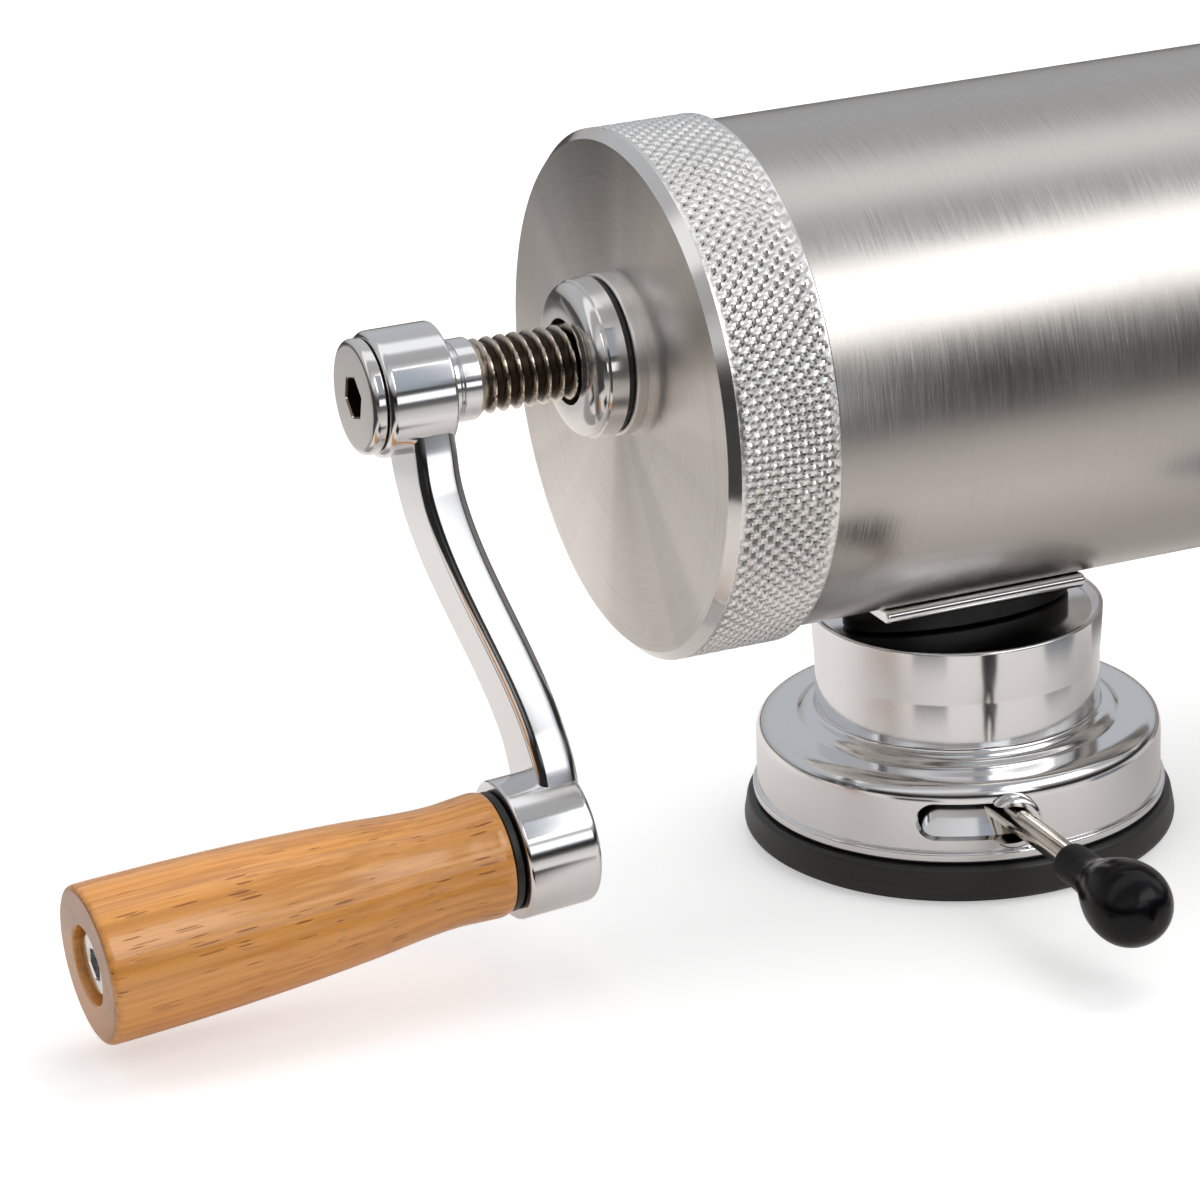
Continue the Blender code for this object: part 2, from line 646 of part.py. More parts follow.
def arm_section(share):
    """Rounded section of the arm, square to its bent centre line and flared at the hubs."""
    centre = arm_centre(share)
    along = (arm_centre(share + SLOPE_SHARE) - arm_centre(share - SLOPE_SHARE)).normalized()
    across = Vector((0, 1, 0))
    inward = along.cross(across)
    from_upper = CRANK_RADIUS * share - UPPER_HUB_RADIUS
    from_lower = CRANK_RADIUS * (1 - share) - LOWER_HUB_RADIUS
    flare = 1 - smoothstep(min(from_upper, from_lower) / ARM_FLARE_LENGTH)
    half_width = (ARM_WIDTH + ARM_FLARE * flare) / 2
    half_thickness = ARM_THICKNESS / 2
    points = []
    for quarter, (side, face) in enumerate(((1, 1), (-1, 1), (-1, -1), (1, -1))):
        for index in range(ARM_CORNER_STEPS + 1):
            angle = math.pi / 2 * (quarter + index / ARM_CORNER_STEPS)
            wide = side * (half_width - ARM_CORNER) + ARM_CORNER * math.cos(angle)
            thick = face * (half_thickness - ARM_CORNER) + ARM_CORNER * math.sin(angle)
            points.append(centre + across * wide + inward * thick)
    return points


def build_crank(axis):
    """Cast crank: two hubs joined by an arm that bends back towards the barrel."""
    first = UPPER_HUB_RADIUS * ARM_ROOT_SHARE / CRANK_RADIUS
    last = 1 - LOWER_HUB_RADIUS * ARM_ROOT_SHARE / CRANK_RADIUS
    shape = bmesh.new()
    rings = []
    for index in range(ARM_STATIONS + 1):
        share = first + (last - first) * index / ARM_STATIONS
        rings.append([shape.verts.new(point) for point in arm_section(share)])
    bridge(shape, rings)
    crank = object_from("crank_arm", shape, "chrome", axis)

    hub_corners = [
        (HUB_REAR, 0, 0),
        (HUB_REAR, UPPER_HUB_RADIUS, HUB_ROUND),
        (HUB_FRONT, UPPER_HUB_RADIUS, HUB_ROUND / 2),
        (HUB_FRONT, 0, 0),
    ]
    upper = turned("crank_upper_hub", rounded(hub_corners, closed=False), closed=False, parent=axis)
    combine(crank, upper, "UNION")

    pin = frame("crank_pin_axis", (PIN_X, 0, -CRANK_RADIUS), (0, -PIN_SPLAY, 0), axis)
    half = LOWER_HUB_LENGTH / 2
    hub_corners = [
        (-half, 0, 0),
        (-half, LOWER_HUB_RADIUS, HUB_ROUND / 2),
        (half, LOWER_HUB_RADIUS, HUB_ROUND),
        (half, 0, 0),
    ]
    lower = turned("crank_lower_hub", rounded(hub_corners, closed=False), closed=False, parent=pin)
    combine(crank, lower, "UNION")

    square_start = HUB_REAR - CUT_OVERRUN
    square_end = HUB_FRONT + CUT_OVERRUN
    square = prism("crank_square_hole", 4, TANG_SIDE + 2 * GAP, square_start, square_end, parent=axis)
    combine(crank, square, "DIFFERENCE")
    hole_outline = disc(SPINDLE_RADIUS + GAP, -half - CUT_OVERRUN, -half + SPINDLE_THREAD_DEPTH + GAP)
    hole = turned("crank_pin_hole", hole_outline, closed=False, steps=SMALL_STEPS, parent=pin)
    combine(crank, hole, "DIFFERENCE")
    return pin


def build_end_screw(axis):
    """Broad-headed socket screw that clamps the crank on the square end."""
    head_rear = HUB_REAR - GAP - END_SCREW_HEAD
    neck_end = HUB_FRONT - TANG_LENGTH - GAP
    shank_end = HUB_FRONT - TANG_LENGTH + END_SCREW_SHANK_LENGTH - GAP
    corners = [
        (head_rear, 0, 0),
        (head_rear, END_SCREW_RADIUS, END_SCREW_HEAD / 2),
        (HUB_REAR - GAP, END_SCREW_RADIUS, 0),
        (HUB_REAR - GAP, END_SCREW_NECK_RADIUS, 0),
        (neck_end, END_SCREW_NECK_RADIUS, 0),
        (neck_end, END_SCREW_SHANK_RADIUS, 0),
        (shank_end, END_SCREW_SHANK_RADIUS, 0),
        (shank_end, 0, 0),
    ]
    outline = rounded(corners, closed=False)
    screw = turned("crank_end_screw", outline, "polished_steel", closed=False, parent=axis)
    socket_start = head_rear - CUT_OVERRUN
    socket_end = head_rear + END_SOCKET_DEPTH
    socket = prism("crank_end_socket", 6, END_SOCKET_SPAN, socket_start, socket_end, parent=axis)
    combine(screw, socket, "DIFFERENCE")


def build_grip(pin):
    """Turned grip on a shoulder bolt, with its washers, along the pin's axis."""
    washer_front = -LOWER_HUB_LENGTH / 2 - GAP
    washer_rear = washer_front - GRIP_WASHER_THICKNESS
    washer = ring(SPINDLE_RADIUS + GAP, GRIP_WASHER_RADIUS, washer_rear, washer_front)
    turned("grip_washer", washer, "rubber", parent=pin)

    grip_front = washer_rear - GAP
    grip_rear = grip_front - GRIP_LENGTH
    counterbore_floor = grip_rear + GRIP_COUNTERBORE_DEPTH
    neck_radius_share = GRIP_PROFILE_SHARES[0][1]
    corners = [
        (grip_front, GRIP_BORE, 0),
        (grip_front, GRIP_RADIUS * neck_radius_share - GRIP_EDGE / 2, 0),
    ]
    for share, radius_share in GRIP_PROFILE_SHARES:
        corners.append((grip_front - GRIP_LENGTH * share, GRIP_RADIUS * radius_share, 0))
    corners += [
        (grip_rear, GRIP_RADIUS, GRIP_EDGE),
        (grip_rear, GRIP_COUNTERBORE, GAP),
        (counterbore_floor, GRIP_COUNTERBORE, 0),
        (counterbore_floor, GRIP_BORE, 0),
    ]
    turned("grip", rounded(corners), "beech", parent=pin)

    head_washer_rear = counterbore_floor - GAP - HEAD_WASHER_THICKNESS
    washer = ring(SPINDLE_RADIUS + GAP, HEAD_WASHER_RADIUS, head_washer_rear, counterbore_floor - GAP)
    turned("spindle_washer", washer, "polished_steel", steps=SMALL_STEPS, parent=pin)

    head_front = head_washer_rear - GAP
    head_rear = head_front - SPINDLE_HEAD
    bolt_end = -LOWER_HUB_LENGTH / 2 + SPINDLE_THREAD_DEPTH
    corners = [
        (head_rear, 0, 0),
        (head_rear, SPINDLE_HEAD_RADIUS, 2 * GAP),
        (head_front, SPINDLE_HEAD_RADIUS, 0),
        (head_front, SPINDLE_RADIUS, 0),
        (bolt_end, SPINDLE_RADIUS, 2 * GAP),
        (bolt_end, 0, 0),
    ]
    outline = rounded(corners, closed=False, steps=1)
    bolt = turned("grip_spindle", outline, "polished_steel", closed=False, steps=SMALL_STEPS, parent=pin)
    socket_start = head_rear - CUT_OVERRUN
    socket_end = head_rear + SPINDLE_SOCKET_DEPTH
    socket = prism("grip_spindle_socket", 6, SPINDLE_SOCKET_SPAN, socket_start, socket_end, parent=pin)
    combine(bolt, socket, "DIFFERENCE")


def build_front(axis):
    """Gasket, nozzle and the knurled ring that holds them on the barrel."""
    gasket = ring(BARREL_BORE - GASKET_WIDTH, BARREL_RADIUS, BARREL_FRONT + GAP, NOZZLE_REAR - GAP)
    turned("front_gasket", gasket, "rubber", parent=axis)

    cone_end = NOZZLE_SHOULDER + NOZZLE_CONE_LENGTH
    tip = cone_end + NOZZLE_TUBE_LENGTH
    corners = [
        (NOZZLE_REAR, BARREL_RADIUS, 0),
        (NOZZLE_SHOULDER, BARREL_RADIUS, 0),
        (NOZZLE_SHOULDER, NOZZLE_CONE_RADIUS, 0),
        (cone_end, NOZZLE_ROOT_RADIUS, NOZZLE_WALL),
        (tip, NOZZLE_TIP_RADIUS, 0),
        (tip, NOZZLE_TIP_RADIUS - NOZZLE_WALL, 0),
        (cone_end, NOZZLE_ROOT_RADIUS - NOZZLE_WALL, NOZZLE_WALL),
        (NOZZLE_REAR, NOZZLE_CONE_RADIUS - NOZZLE_WALL, 0),
    ]
    turned("nozzle", rounded(corners), "polished_steel", parent=axis)

    lip_inner_face = NOZZLE_SHOULDER + GAP
    lip_outer_face = lip_inner_face + RING_LIP
    skirt_radius = BARREL_RADIUS + GAP
    lip_radius = BARREL_RADIUS - RING_LIP_WIDTH
    corners = [
        (lip_inner_face, lip_radius, 0),
        (lip_inner_face, skirt_radius, 0),
        (lip_outer_face - RING_DEPTH, skirt_radius, 0),
        (lip_outer_face - RING_DEPTH, CAP_RADIUS, CAP_RIM_ROUND),
        (lip_outer_face - RING_BEVEL, CAP_RADIUS, 0),
        (lip_outer_face, CAP_RADIUS - RING_BEVEL, 0),
        (lip_outer_face, lip_radius, 0),
    ]
    turned("front_ring", rounded(corners, steps=1), "brushed_steel", steps=FINE_STEPS, parent=axis)


def build_pad():
    """Rubber pad: a flat foot, a raised rim under the housing and a socket for the stem."""
    corners = [
        (0, 0, 0),
        (0, PAD_RADIUS - PAD_FOOT_INSET, PAD_EDGE),
        (PAD_WIDEST_HEIGHT / 2, PAD_RADIUS, PAD_WIDEST_HEIGHT),
        (PAD_HEIGHT, PAD_RADIUS - PAD_TOP_INSET, PAD_EDGE),
        (PAD_HEIGHT, FLANGE_RADIUS - PAD_RIM_WIDTH, 0),
        (PAD_FLOOR, FLANGE_RADIUS - PAD_RIM_WIDTH, 0),
        (PAD_FLOOR, PAD_BOSS_RADIUS, 0),
        (PAD_BOSS_HEIGHT, PAD_BOSS_RADIUS, 0),
        (PAD_BOSS_HEIGHT, STEM_HEAD_RADIUS + GAP, 0),
        (PAD_FLOOR, STEM_HEAD_RADIUS + GAP, 0),
        (PAD_FLOOR, 0, 0),
    ]
    outline = rounded(corners, closed=False)
    turned("suction_pad", outline, "rubber", axis="Z", closed=False, steps=FINE_STEPS)


def build_housing():
    """Spun shell from the rolled lip to the dished top, with the lever's slot and boss."""
    shoulder = FLANGE_TOP_HEIGHT - HOUSING_WALL
    pedestal_bore = PEDESTAL_RADIUS - HOUSING_WALL
    corners = [
        (DISH_HEIGHT, 0, 0),
        (DISH_HEIGHT, PEDESTAL_TOP_RADIUS - RIM_WIDTH, 0),
        (PEDESTAL_TOP_HEIGHT, PEDESTAL_TOP_RADIUS - RIM_WIDTH / 2, 0),
        (PEDESTAL_TOP_HEIGHT, PEDESTAL_TOP_RADIUS, DISH_DEPTH),
        (PEDESTAL_TOP_HEIGHT - 2 * RIM_WIDTH, PEDESTAL_RADIUS, RIM_WIDTH),
        (FOOT_HEIGHT, PEDESTAL_RADIUS, FOOT_FILLET),
        (FOOT_HEIGHT, FOOT_RADIUS, FOOT_FILLET),
        (FLANGE_TOP_HEIGHT, FOOT_RADIUS + FOOT_FILLET / 2, 0),
        (FLANGE_TOP_HEIGHT, FLANGE_RADIUS, FLANGE_ROUND),
        (HOUSING_BOTTOM + LIP_HEIGHT + GAP, FLANGE_RADIUS, 0),
        (HOUSING_BOTTOM + LIP_HEIGHT, LIP_RADIUS, 0),
        (HOUSING_BOTTOM, LIP_RADIUS, LIP_HEIGHT / 2),
        (HOUSING_BOTTOM, HOUSING_BORE, 0),
        (shoulder, HOUSING_BORE, 0),
        (shoulder, pedestal_bore, 0),
        (CEILING, pedestal_bore, 0),
        (CEILING, 0, 0),
    ]
    outline = rounded(corners, closed=False)
    housing = turned("base_housing", outline, "chrome", axis="Z", closed=False, steps=FINE_STEPS)

    boss_start = HOUSING_BORE + HOUSING_WALL / 4
    boss_outline = disc(LEVER_BOSS_RADIUS, boss_start, FLANGE_RADIUS + LEVER_BOSS_REACH, LEVER_BOSS_EDGE)
    turn = frame("lever_boss_axis", (0, 0, LEVER_HEIGHT), (0, 0, SLOT_REST_ANGLE))
    boss = turned("lever_boss", boss_outline, closed=False, parent=turn)
    combine(housing, boss, "UNION")
    combine(housing, slot_cutter(), "DIFFERENCE")

    for number, side in enumerate((-1, 1), start=1):
        hole_outline = disc(SADDLE_SCREW_RADIUS + GAP, CEILING - CUT_OVERRUN, DISH_HEIGHT + CUT_OVERRUN)
        place = (side * SADDLE_SCREW_SPACING / 2, 0, 0)
        name = f"housing_screw_hole_{number}"
        hole = turned(name, hole_outline, axis="Z", closed=False, steps=SMALL_STEPS, location=place)
        combine(housing, hole, "DIFFERENCE")


def slot_cutter():
    """Curved oblong that follows the lever round its swing, through the wall."""
    inner = HOUSING_BORE - CUT_OVERRUN
    outer = FLANGE_RADIUS + LEVER_BOSS_REACH + CUT_OVERRUN
    end_radius = SLOT_HEIGHT / 2
    reach = (ROD_RADIUS + SLOT_END_CLEARANCE) / FLANGE_RADIUS
    rest = SLOT_REST_ANGLE + reach
    far = SLOT_FAR_ANGLE - reach
    shape = bmesh.new()
    rings = []
    for radius in (inner, outer):
        verts = []
        for end, sense in ((rest, 1), (far, -1)):
            for index in range(SMALL_STEPS // 2 + 1):
                around = math.pi * index / (SMALL_STEPS // 2) - math.pi / 2
                rise = sense * end_radius * math.sin(around)
                angle = end + sense * (end_radius * math.cos(around) - end_radius) / FLANGE_RADIUS
                place = (radius * math.cos(angle), radius * math.sin(angle), LEVER_HEIGHT + rise)
                verts.append(shape.verts.new(place))
        rings.append(verts)
    bridge(shape, rings)
    return object_from("lever_slot", shape)


def build_saddle():
    """Cradle that fits the barrel, on a foot screwed to the pedestal's top."""
    inner = BARREL_RADIUS + GAP
    outer = inner + SADDLE_THICKNESS
    half = SADDLE_LENGTH / 2
    shape = bmesh.new()
    rings = []
    for along in (-half, half):
        lower = []
        upper = []
        for index in range(SADDLE_STEPS + 1):
            angle = SADDLE_HALF_ANGLE * (2 * index / SADDLE_STEPS - 1)
            for radius, row in ((outer, lower), (inner, upper)):
                place = (along, radius * math.sin(angle), BARREL_AXIS_HEIGHT - radius * math.cos(angle))
                row.append(shape.verts.new(place))
        rings.append(lower + upper[::-1])
    bridge(shape, rings)
    saddle = object_from("saddle", shape, "chrome", location=(SADDLE_SHIFT, 0, 0))

    foot_bottom = DISH_HEIGHT + GAP
    foot_top = BARREL_AXIS_HEIGHT - outer + SADDLE_THICKNESS / 2
    foot = box("saddle_foot", SADDLE_FOOT_LENGTH, SADDLE_FOOT_WIDTH, foot_bottom, foot_top)
    combine(saddle, foot, "UNION")
    shank_top = DISH_HEIGHT + SADDLE_SCREW_DEPTH
    head_top = CEILING - GAP
    corners = [
        (head_top - SADDLE_SCREW_HEAD, 0, 0),
        (head_top - SADDLE_SCREW_HEAD, SADDLE_SCREW_HEAD_RADIUS, GAP),
        (head_top, SADDLE_SCREW_HEAD_RADIUS, 0),
        (head_top, SADDLE_SCREW_RADIUS, 0),
        (shank_top, SADDLE_SCREW_RADIUS, 0),
        (shank_top, 0, 0),
    ]
    outline = rounded(corners, closed=False, steps=1)
    hole_outline = disc(SADDLE_SCREW_RADIUS + GAP, foot_bottom - CUT_OVERRUN, shank_top + GAP)
    for number, side in enumerate((-1, 1), start=1):
        place = (side * SADDLE_SCREW_SPACING / 2, 0, 0)
        name = f"saddle_hole_{number}"
        hole = turned(name, hole_outline, axis="Z", closed=False, steps=SMALL_STEPS, location=place)
        combine(saddle, hole, "DIFFERENCE")
        turned(
            f"saddle_screw_{number}", outline, "polished_steel", axis="Z", closed=False, steps=SMALL_STEPS,
            location=place,
        )


def box(name, length, width, bottom, top):
    """Plain block centred on Z."""
    shape = bmesh.new()
    size = Matrix.Diagonal((length, width, top - bottom, 1))
    place = Matrix.Translation((0, 0, (bottom + top) / 2))
    bmesh.ops.create_cube(shape, size=1, matrix=place @ size)
    return object_from(name, shape)


def build_mechanism():
    """Guide plate on the pad's rim, and the stem that lifts the pad, with its plate and nut."""
    guide_top = CAM_BOTTOM - GAP
    guide_radius = HOUSING_BORE - GAP
    guide = [
        (guide_top, STEM_RADIUS + GAP),
        (guide_top, guide_radius),
        (HOUSING_BOTTOM, guide_radius),
        (HOUSING_BOTTOM, guide_radius - GUIDE_SKIRT),
        (guide_top - GUIDE_THICKNESS, guide_radius - GUIDE_SKIRT),
        (guide_top - GUIDE_THICKNESS, STEM_RADIUS + GAP),
    ]
    turned("guide_plate", guide, "polished_steel", axis="Z")

    head_bottom = PAD_FLOOR + GAP
    nut_top = NUT_BOTTOM + NUT_THICKNESS
    stem = [
        (head_bottom, 0),
        (head_bottom, STEM_HEAD_RADIUS),
        (head_bottom + STEM_HEAD, STEM_HEAD_RADIUS),
        (head_bottom + STEM_HEAD, STEM_RADIUS),
        (nut_top + STEM_PROUD, STEM_RADIUS),
        (nut_top + STEM_PROUD, 0),
    ]
    turned("pull_stem", stem, "polished_steel", axis="Z", closed=False, steps=SMALL_STEPS)

    lift = ring(STEM_RADIUS + GAP, LIFT_RADIUS, LIFT_BOTTOM, LIFT_BOTTOM + LIFT_THICKNESS)
    turned("lift_plate", lift, "polished_steel", axis="Z", steps=SMALL_STEPS)

    nut = prism("stem_nut", 6, NUT_SPAN, NUT_BOTTOM, nut_top, "brass", axis="Z")
    hole_outline = disc(STEM_RADIUS + GAP, NUT_BOTTOM - CUT_OVERRUN, nut_top + CUT_OVERRUN)
    hole = turned("stem_nut_hole", hole_outline, axis="Z", closed=False, steps=SMALL_STEPS)
    combine(nut, hole, "DIFFERENCE")


def rod_centre(share):
    """Middle of the lever rod, which arches slightly between cam and knob."""
    reach = ROD_INNER + (KNOB_START + KNOB_SOCKET_DEPTH - ROD_INNER) * share
    return Vector((-ROD_OFFSET, -reach, ROD_RISE * math.sin(math.pi * share)))


def build_lever(axis):
    """Cam ring with the bent lever rod and its pear-shaped knob."""
    cam_half = CAM_THICKNESS / 2
    cam_outline = ring(STEM_RADIUS + 2 * GAP, FLANGE_RADIUS - CAM_INSET, -cam_half, cam_half)
    cam = turned("cam_ring", cam_outline, "brass", axis="Z", parent=axis)

    tube_sections = []
    hole_sections = []
    for index in range(ROD_STATIONS + 1):
        share = index / ROD_STATIONS
        tube_sections.append(rod_section(share, ROD_RADIUS))
        hole_sections.append(rod_section(share, ROD_RADIUS + GAP))
    hole_sections[0] = [point + Vector((0, GAP, 0)) for point in hole_sections[0]]
    swept("lever_rod", tube_sections, "chrome", axis)
    hole = swept("lever_rod_hole", hole_sections, None, axis)
    combine(cam, hole, "DIFFERENCE")

    knob_shape = []
    for share, radius_share in KNOB_PROFILE_SHARES:
        knob_shape.append((KNOB_LENGTH * share, KNOB_BALL_RADIUS * radius_share))
    outline = [(0, 0)] + knob_shape + [(KNOB_LENGTH, 0)]
    start = Vector((-ROD_OFFSET, -KNOB_START, 0))
    turn = frame("lever_knob_axis", start, (0, 0, -math.pi / 2), axis)
    knob = turned("lever_knob", outline, "gloss_black", closed=False, parent=turn)
    combine(knob, hole, "DIFFERENCE")


def rod_section(share, radius):
    """Ring of points round the rod's centre line."""
    centre = rod_centre(share)
    along = (rod_centre(share + SLOPE_SHARE) - rod_centre(share - SLOPE_SHARE)).normalized()
    across = Vector((1, 0, 0))
    upward = across.cross(along).normalized()
    points = []
    for index in range(SMALL_STEPS):
        angle = math.tau * index / SMALL_STEPS
        points.append(centre + radius * (math.cos(angle) * across + math.sin(angle) * upward))
    return points


def swept(name, sections, finish_name, parent):
    """Solid through a list of point rings."""
    shape = bmesh.new()
    rings = [[shape.verts.new(point) for point in section] for section in sections]
    bridge(shape, rings)
    return object_from(name, shape, finish_name, parent)


def main():
    clear_scene()
    build_barrel()
    barrel_axis = frame("barrel_axis", (0, 0, BARREL_AXIS_HEIGHT))
    build_rear_cap(barrel_axis)
    build_bush_and_gland(barrel_axis)
    build_piston(barrel_axis)
    screw_axis = frame("screw_axis", (0, 0, SCREW_HEIGHT), (-CRANK_ANGLE, 0, 0))
    build_lead_screw(screw_axis)
    build_swivel(screw_axis)
    pin = build_crank(screw_axis)
    build_end_screw(screw_axis)
    build_grip(pin)
    build_front(barrel_axis)
    build_pad()
    build_housing()
    build_saddle()
    build_mechanism()
    lever_axis = frame("lever_axis", (0, 0, LEVER_HEIGHT))
    build_lever(lever_axis)


main()
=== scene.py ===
"""Looks of a horizontal screw-press sausage stuffer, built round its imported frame.

Metres, +Z up. The barrel lies along X: the crank is at -X, the nozzle at +X.
"""
import math

import bmesh
import bpy
from bpy.props import FloatProperty, FloatVectorProperty, IntProperty, PointerProperty
from mathutils import Matrix, Vector


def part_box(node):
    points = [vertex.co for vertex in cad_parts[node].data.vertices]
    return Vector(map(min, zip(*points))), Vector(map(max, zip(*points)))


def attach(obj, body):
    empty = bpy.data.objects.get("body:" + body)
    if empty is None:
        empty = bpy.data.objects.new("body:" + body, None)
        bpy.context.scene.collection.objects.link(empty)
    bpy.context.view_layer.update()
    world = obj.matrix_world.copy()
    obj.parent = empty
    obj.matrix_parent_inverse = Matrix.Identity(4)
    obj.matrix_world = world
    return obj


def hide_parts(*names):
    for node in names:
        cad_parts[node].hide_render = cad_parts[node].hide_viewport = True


bl_info = {
    "name": "Sausage stuffer",
    "version": (1, 0, 0),
    "blender": (4, 5, 0),
    "location": "3D View > Sidebar > Stuffer",
    "description": "Fine shapes and finishes of a horizontal sausage stuffer",
    "category": "Object",
}

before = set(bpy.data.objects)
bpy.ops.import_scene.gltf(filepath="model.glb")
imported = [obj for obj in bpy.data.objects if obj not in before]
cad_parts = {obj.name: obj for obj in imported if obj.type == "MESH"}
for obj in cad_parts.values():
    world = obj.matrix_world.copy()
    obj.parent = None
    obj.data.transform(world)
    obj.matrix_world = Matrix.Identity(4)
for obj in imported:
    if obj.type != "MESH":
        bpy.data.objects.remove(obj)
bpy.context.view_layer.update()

# Facets
WELD = 0.000001
SHARP_ANGLE = math.radians(28)
LARGE_STEPS = 192
ROUND_STEPS = 120
SMALL_STEPS = 60
FILLET_STEPS = 7
KNURL_STEPS = 6
THREAD_STEPS = 10
SLOPE_SHARE = 0.01
GAP = 0.0003


def middle(node, axis):
    """Middle of a node's box along an axis."""
    low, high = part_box(node)
    return (low[axis] + high[axis]) / 2


# Places read from the frame
AXIS_HEIGHT = middle("barrel", 2)
SCREW_HEIGHT = middle("gland_nut", 2)
LEVER_HEIGHT = middle("cam_ring", 2)
BARREL_REAR, BARREL_FRONT = (corner.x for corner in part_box("barrel"))
BARREL_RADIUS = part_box("barrel")[1].y
CAP_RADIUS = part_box("rear_cap")[1].y
BOSS_FACE, CAP_RIM = (corner.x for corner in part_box("rear_cap"))
GLAND_FACE, GLAND_REAR = (corner.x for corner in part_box("gland_nut"))
GLAND_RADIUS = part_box("gland_nut")[1].y
SPACER_REAR, SPACER_FRONT = (corner.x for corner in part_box("crank_spacer"))
END_SCREW_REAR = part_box("crank_end_screw")[0].x
JOURNAL_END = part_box("lead_screw")[1].x
SCREW_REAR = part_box("lead_screw")[0].x
RING_REAR, RING_FRONT = (corner.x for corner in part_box("front_ring"))
NOZZLE_REAR, NOZZLE_TIP = (corner.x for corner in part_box("nozzle"))
PAD_RADIUS, PAD_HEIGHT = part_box("suction_pad")[1].y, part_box("suction_pad")[1].z
HOUSING_BOTTOM, PEDESTAL_TOP = (corner.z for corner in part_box("base_housing"))
SADDLE_REAR, SADDLE_FRONT = (corner.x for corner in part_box("saddle"))
KNOB_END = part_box("lever_knob")[0].y
KNOB_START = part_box("lever_knob")[1].y

# Sizes that the boxes don't tell
BARREL_WALL = 0.0012
BOSS_HEIGHT = 0.0022
BOSS_RADIUS = 0.0142
CAP_PLATE = 0.0047
CAP_BEVEL = 0.0017
BUSH_RADIUS = 0.0105
GLAND_BORE = 0.0076
GLAND_BAND = 0.0030
SCREW_RADIUS = 0.0066
THREAD_CREST_SHARE = 0.10
THREAD_FLANK_SHARE = 0.45
KNURL_GROOVE_SHARE = 0.54
JOURNAL_RADIUS = 0.0045
PISTON_BOSS_END = 0.0803
TANG_SIDE = 0.0090
CRANK_RADIUS = 0.0808
CRANK_ANGLE = math.radians(15)
PIN_SPLAY = math.radians(3.6)
PIN_INSET = 0.0126
UPPER_HUB_RADIUS = 0.0110
UPPER_HUB_LENGTH = 0.0124
LOWER_HUB_RADIUS = 0.0124
LOWER_HUB_LENGTH = 0.0136
HUB_ROUND = 0.0014
ARM_WIDTH = 0.0144
ARM_THICKNESS = 0.0076
ARM_CORNER = 0.0016
ARM_CROWN = 0.0002
ARM_FLARE = 0.0008
ARM_FLARE_LENGTH = 0.0070
ARM_HUB_INSET = 0.0002
ARM_ROOT_SHARE = 0.5
ARM_BEND_START_SHARE = 0.16
ARM_BEND_END_SHARE = 0.88
ARM_STATIONS = 90
END_SCREW_RADIUS = 0.0100
END_SCREW_HEAD = 0.0024
END_SOCKET_SPAN = 0.0066
END_SOCKET_DEPTH = 0.0045
SOCKET_FLOOR_SHARE = 0.98
SOCKET_VIEW_SHARE = 1.16
GRIP_LENGTH = 0.0740
GRIP_RADIUS = 0.0139
GRIP_BORE = 0.0046
GRIP_COUNTERBORE = 0.0069
GRIP_COUNTERBORE_DEPTH = 0.0090
GRIP_EDGE = 0.0014
GRIP_TAIL_SHARE = 0.95
GRIP_WASHER_RADIUS = 0.0106
GRIP_WASHER_THICKNESS = 0.0014
SPINDLE_RADIUS = 0.0040
SPINDLE_HEAD_RADIUS = 0.0058
SPINDLE_HEAD = 0.0062
SPINDLE_SOCKET_SPAN = 0.0050
SPINDLE_SOCKET_DEPTH = 0.0028
HEAD_WASHER_RADIUS = 0.0062
HEAD_WASHER_THICKNESS = 0.0010
GRIP_PROFILE_SHARES = (
    (0.000, 0.775),
    (0.020, 0.800),
    (0.060, 0.790),
    (0.130, 0.772),
    (0.220, 0.800),
    (0.340, 0.864),
    (0.480, 0.918),
    (0.620, 0.958),
    (0.760, 0.984),
    (0.900, 0.998),
)
RING_LIP = 0.0030
RING_LIP_WIDTH = 0.0060
NOZZLE_FLANGE = 0.0016
NOZZLE_WALL = 0.0010
NOZZLE_CONE_RADIUS = 0.0300
NOZZLE_CONE_LENGTH = 0.0200
NOZZLE_ROOT_RADIUS = 0.0100
NOZZLE_TIP_RADIUS = 0.0085
PAD_FOOT_RADIUS = 0.0368
PAD_WIDEST_HEIGHT = 0.0036
PAD_TOP_RADIUS = 0.0388
PAD_RIM_WIDTH = 0.0060
PAD_EDGE = 0.0012
PAD_FLOOR = 0.0034
PAD_BOSS_RADIUS = 0.0120
PAD_BOSS_HEIGHT = 0.0058
STEM_HEAD_RADIUS = 0.0083
HOUSING_WALL = 0.0020
LIP_WIDTH = 0.0008
LIP_HEIGHT = 0.0020
LIP_DROP = 0.0006
FLANGE_RADIUS = 0.0370
FLANGE_DEPTH = 0.0145
FLANGE_ROUND = 0.0038
FOOT_RADIUS = 0.0280
FOOT_HEIGHT = 0.0240
FOOT_FILLET = 0.0030
PEDESTAL_RADIUS = 0.0260
PEDESTAL_TOP_RADIUS = 0.0266
RIM_WIDTH = 0.0020
DISH_DEPTH = 0.0012
TOP_PLATE = 0.0030
SPUN_FACE_LIKENESS = 0.97
SPUN_CORNER_LIKENESS = 0.8
SLOT_HEIGHT = 0.0070
LEVER_SWING = math.radians(22)
SLOT_END_CLEARANCE = 0.0012
LEVER_BOSS_RADIUS = 0.0050
LEVER_BOSS_REACH = 0.0024
LEVER_BOSS_EDGE = 0.0016
SHUTTER_CLEARANCE = 0.0006
SHUTTER_WALL = 0.0006
SHUTTER_SLOPE = 0.0034
SHUTTER_BELOW_SHARE = 0.56
SHUTTER_ABOVE_SHARE = 0.16
SADDLE_THICKNESS = 0.0026
SADDLE_HALF_ANGLE = math.radians(21)
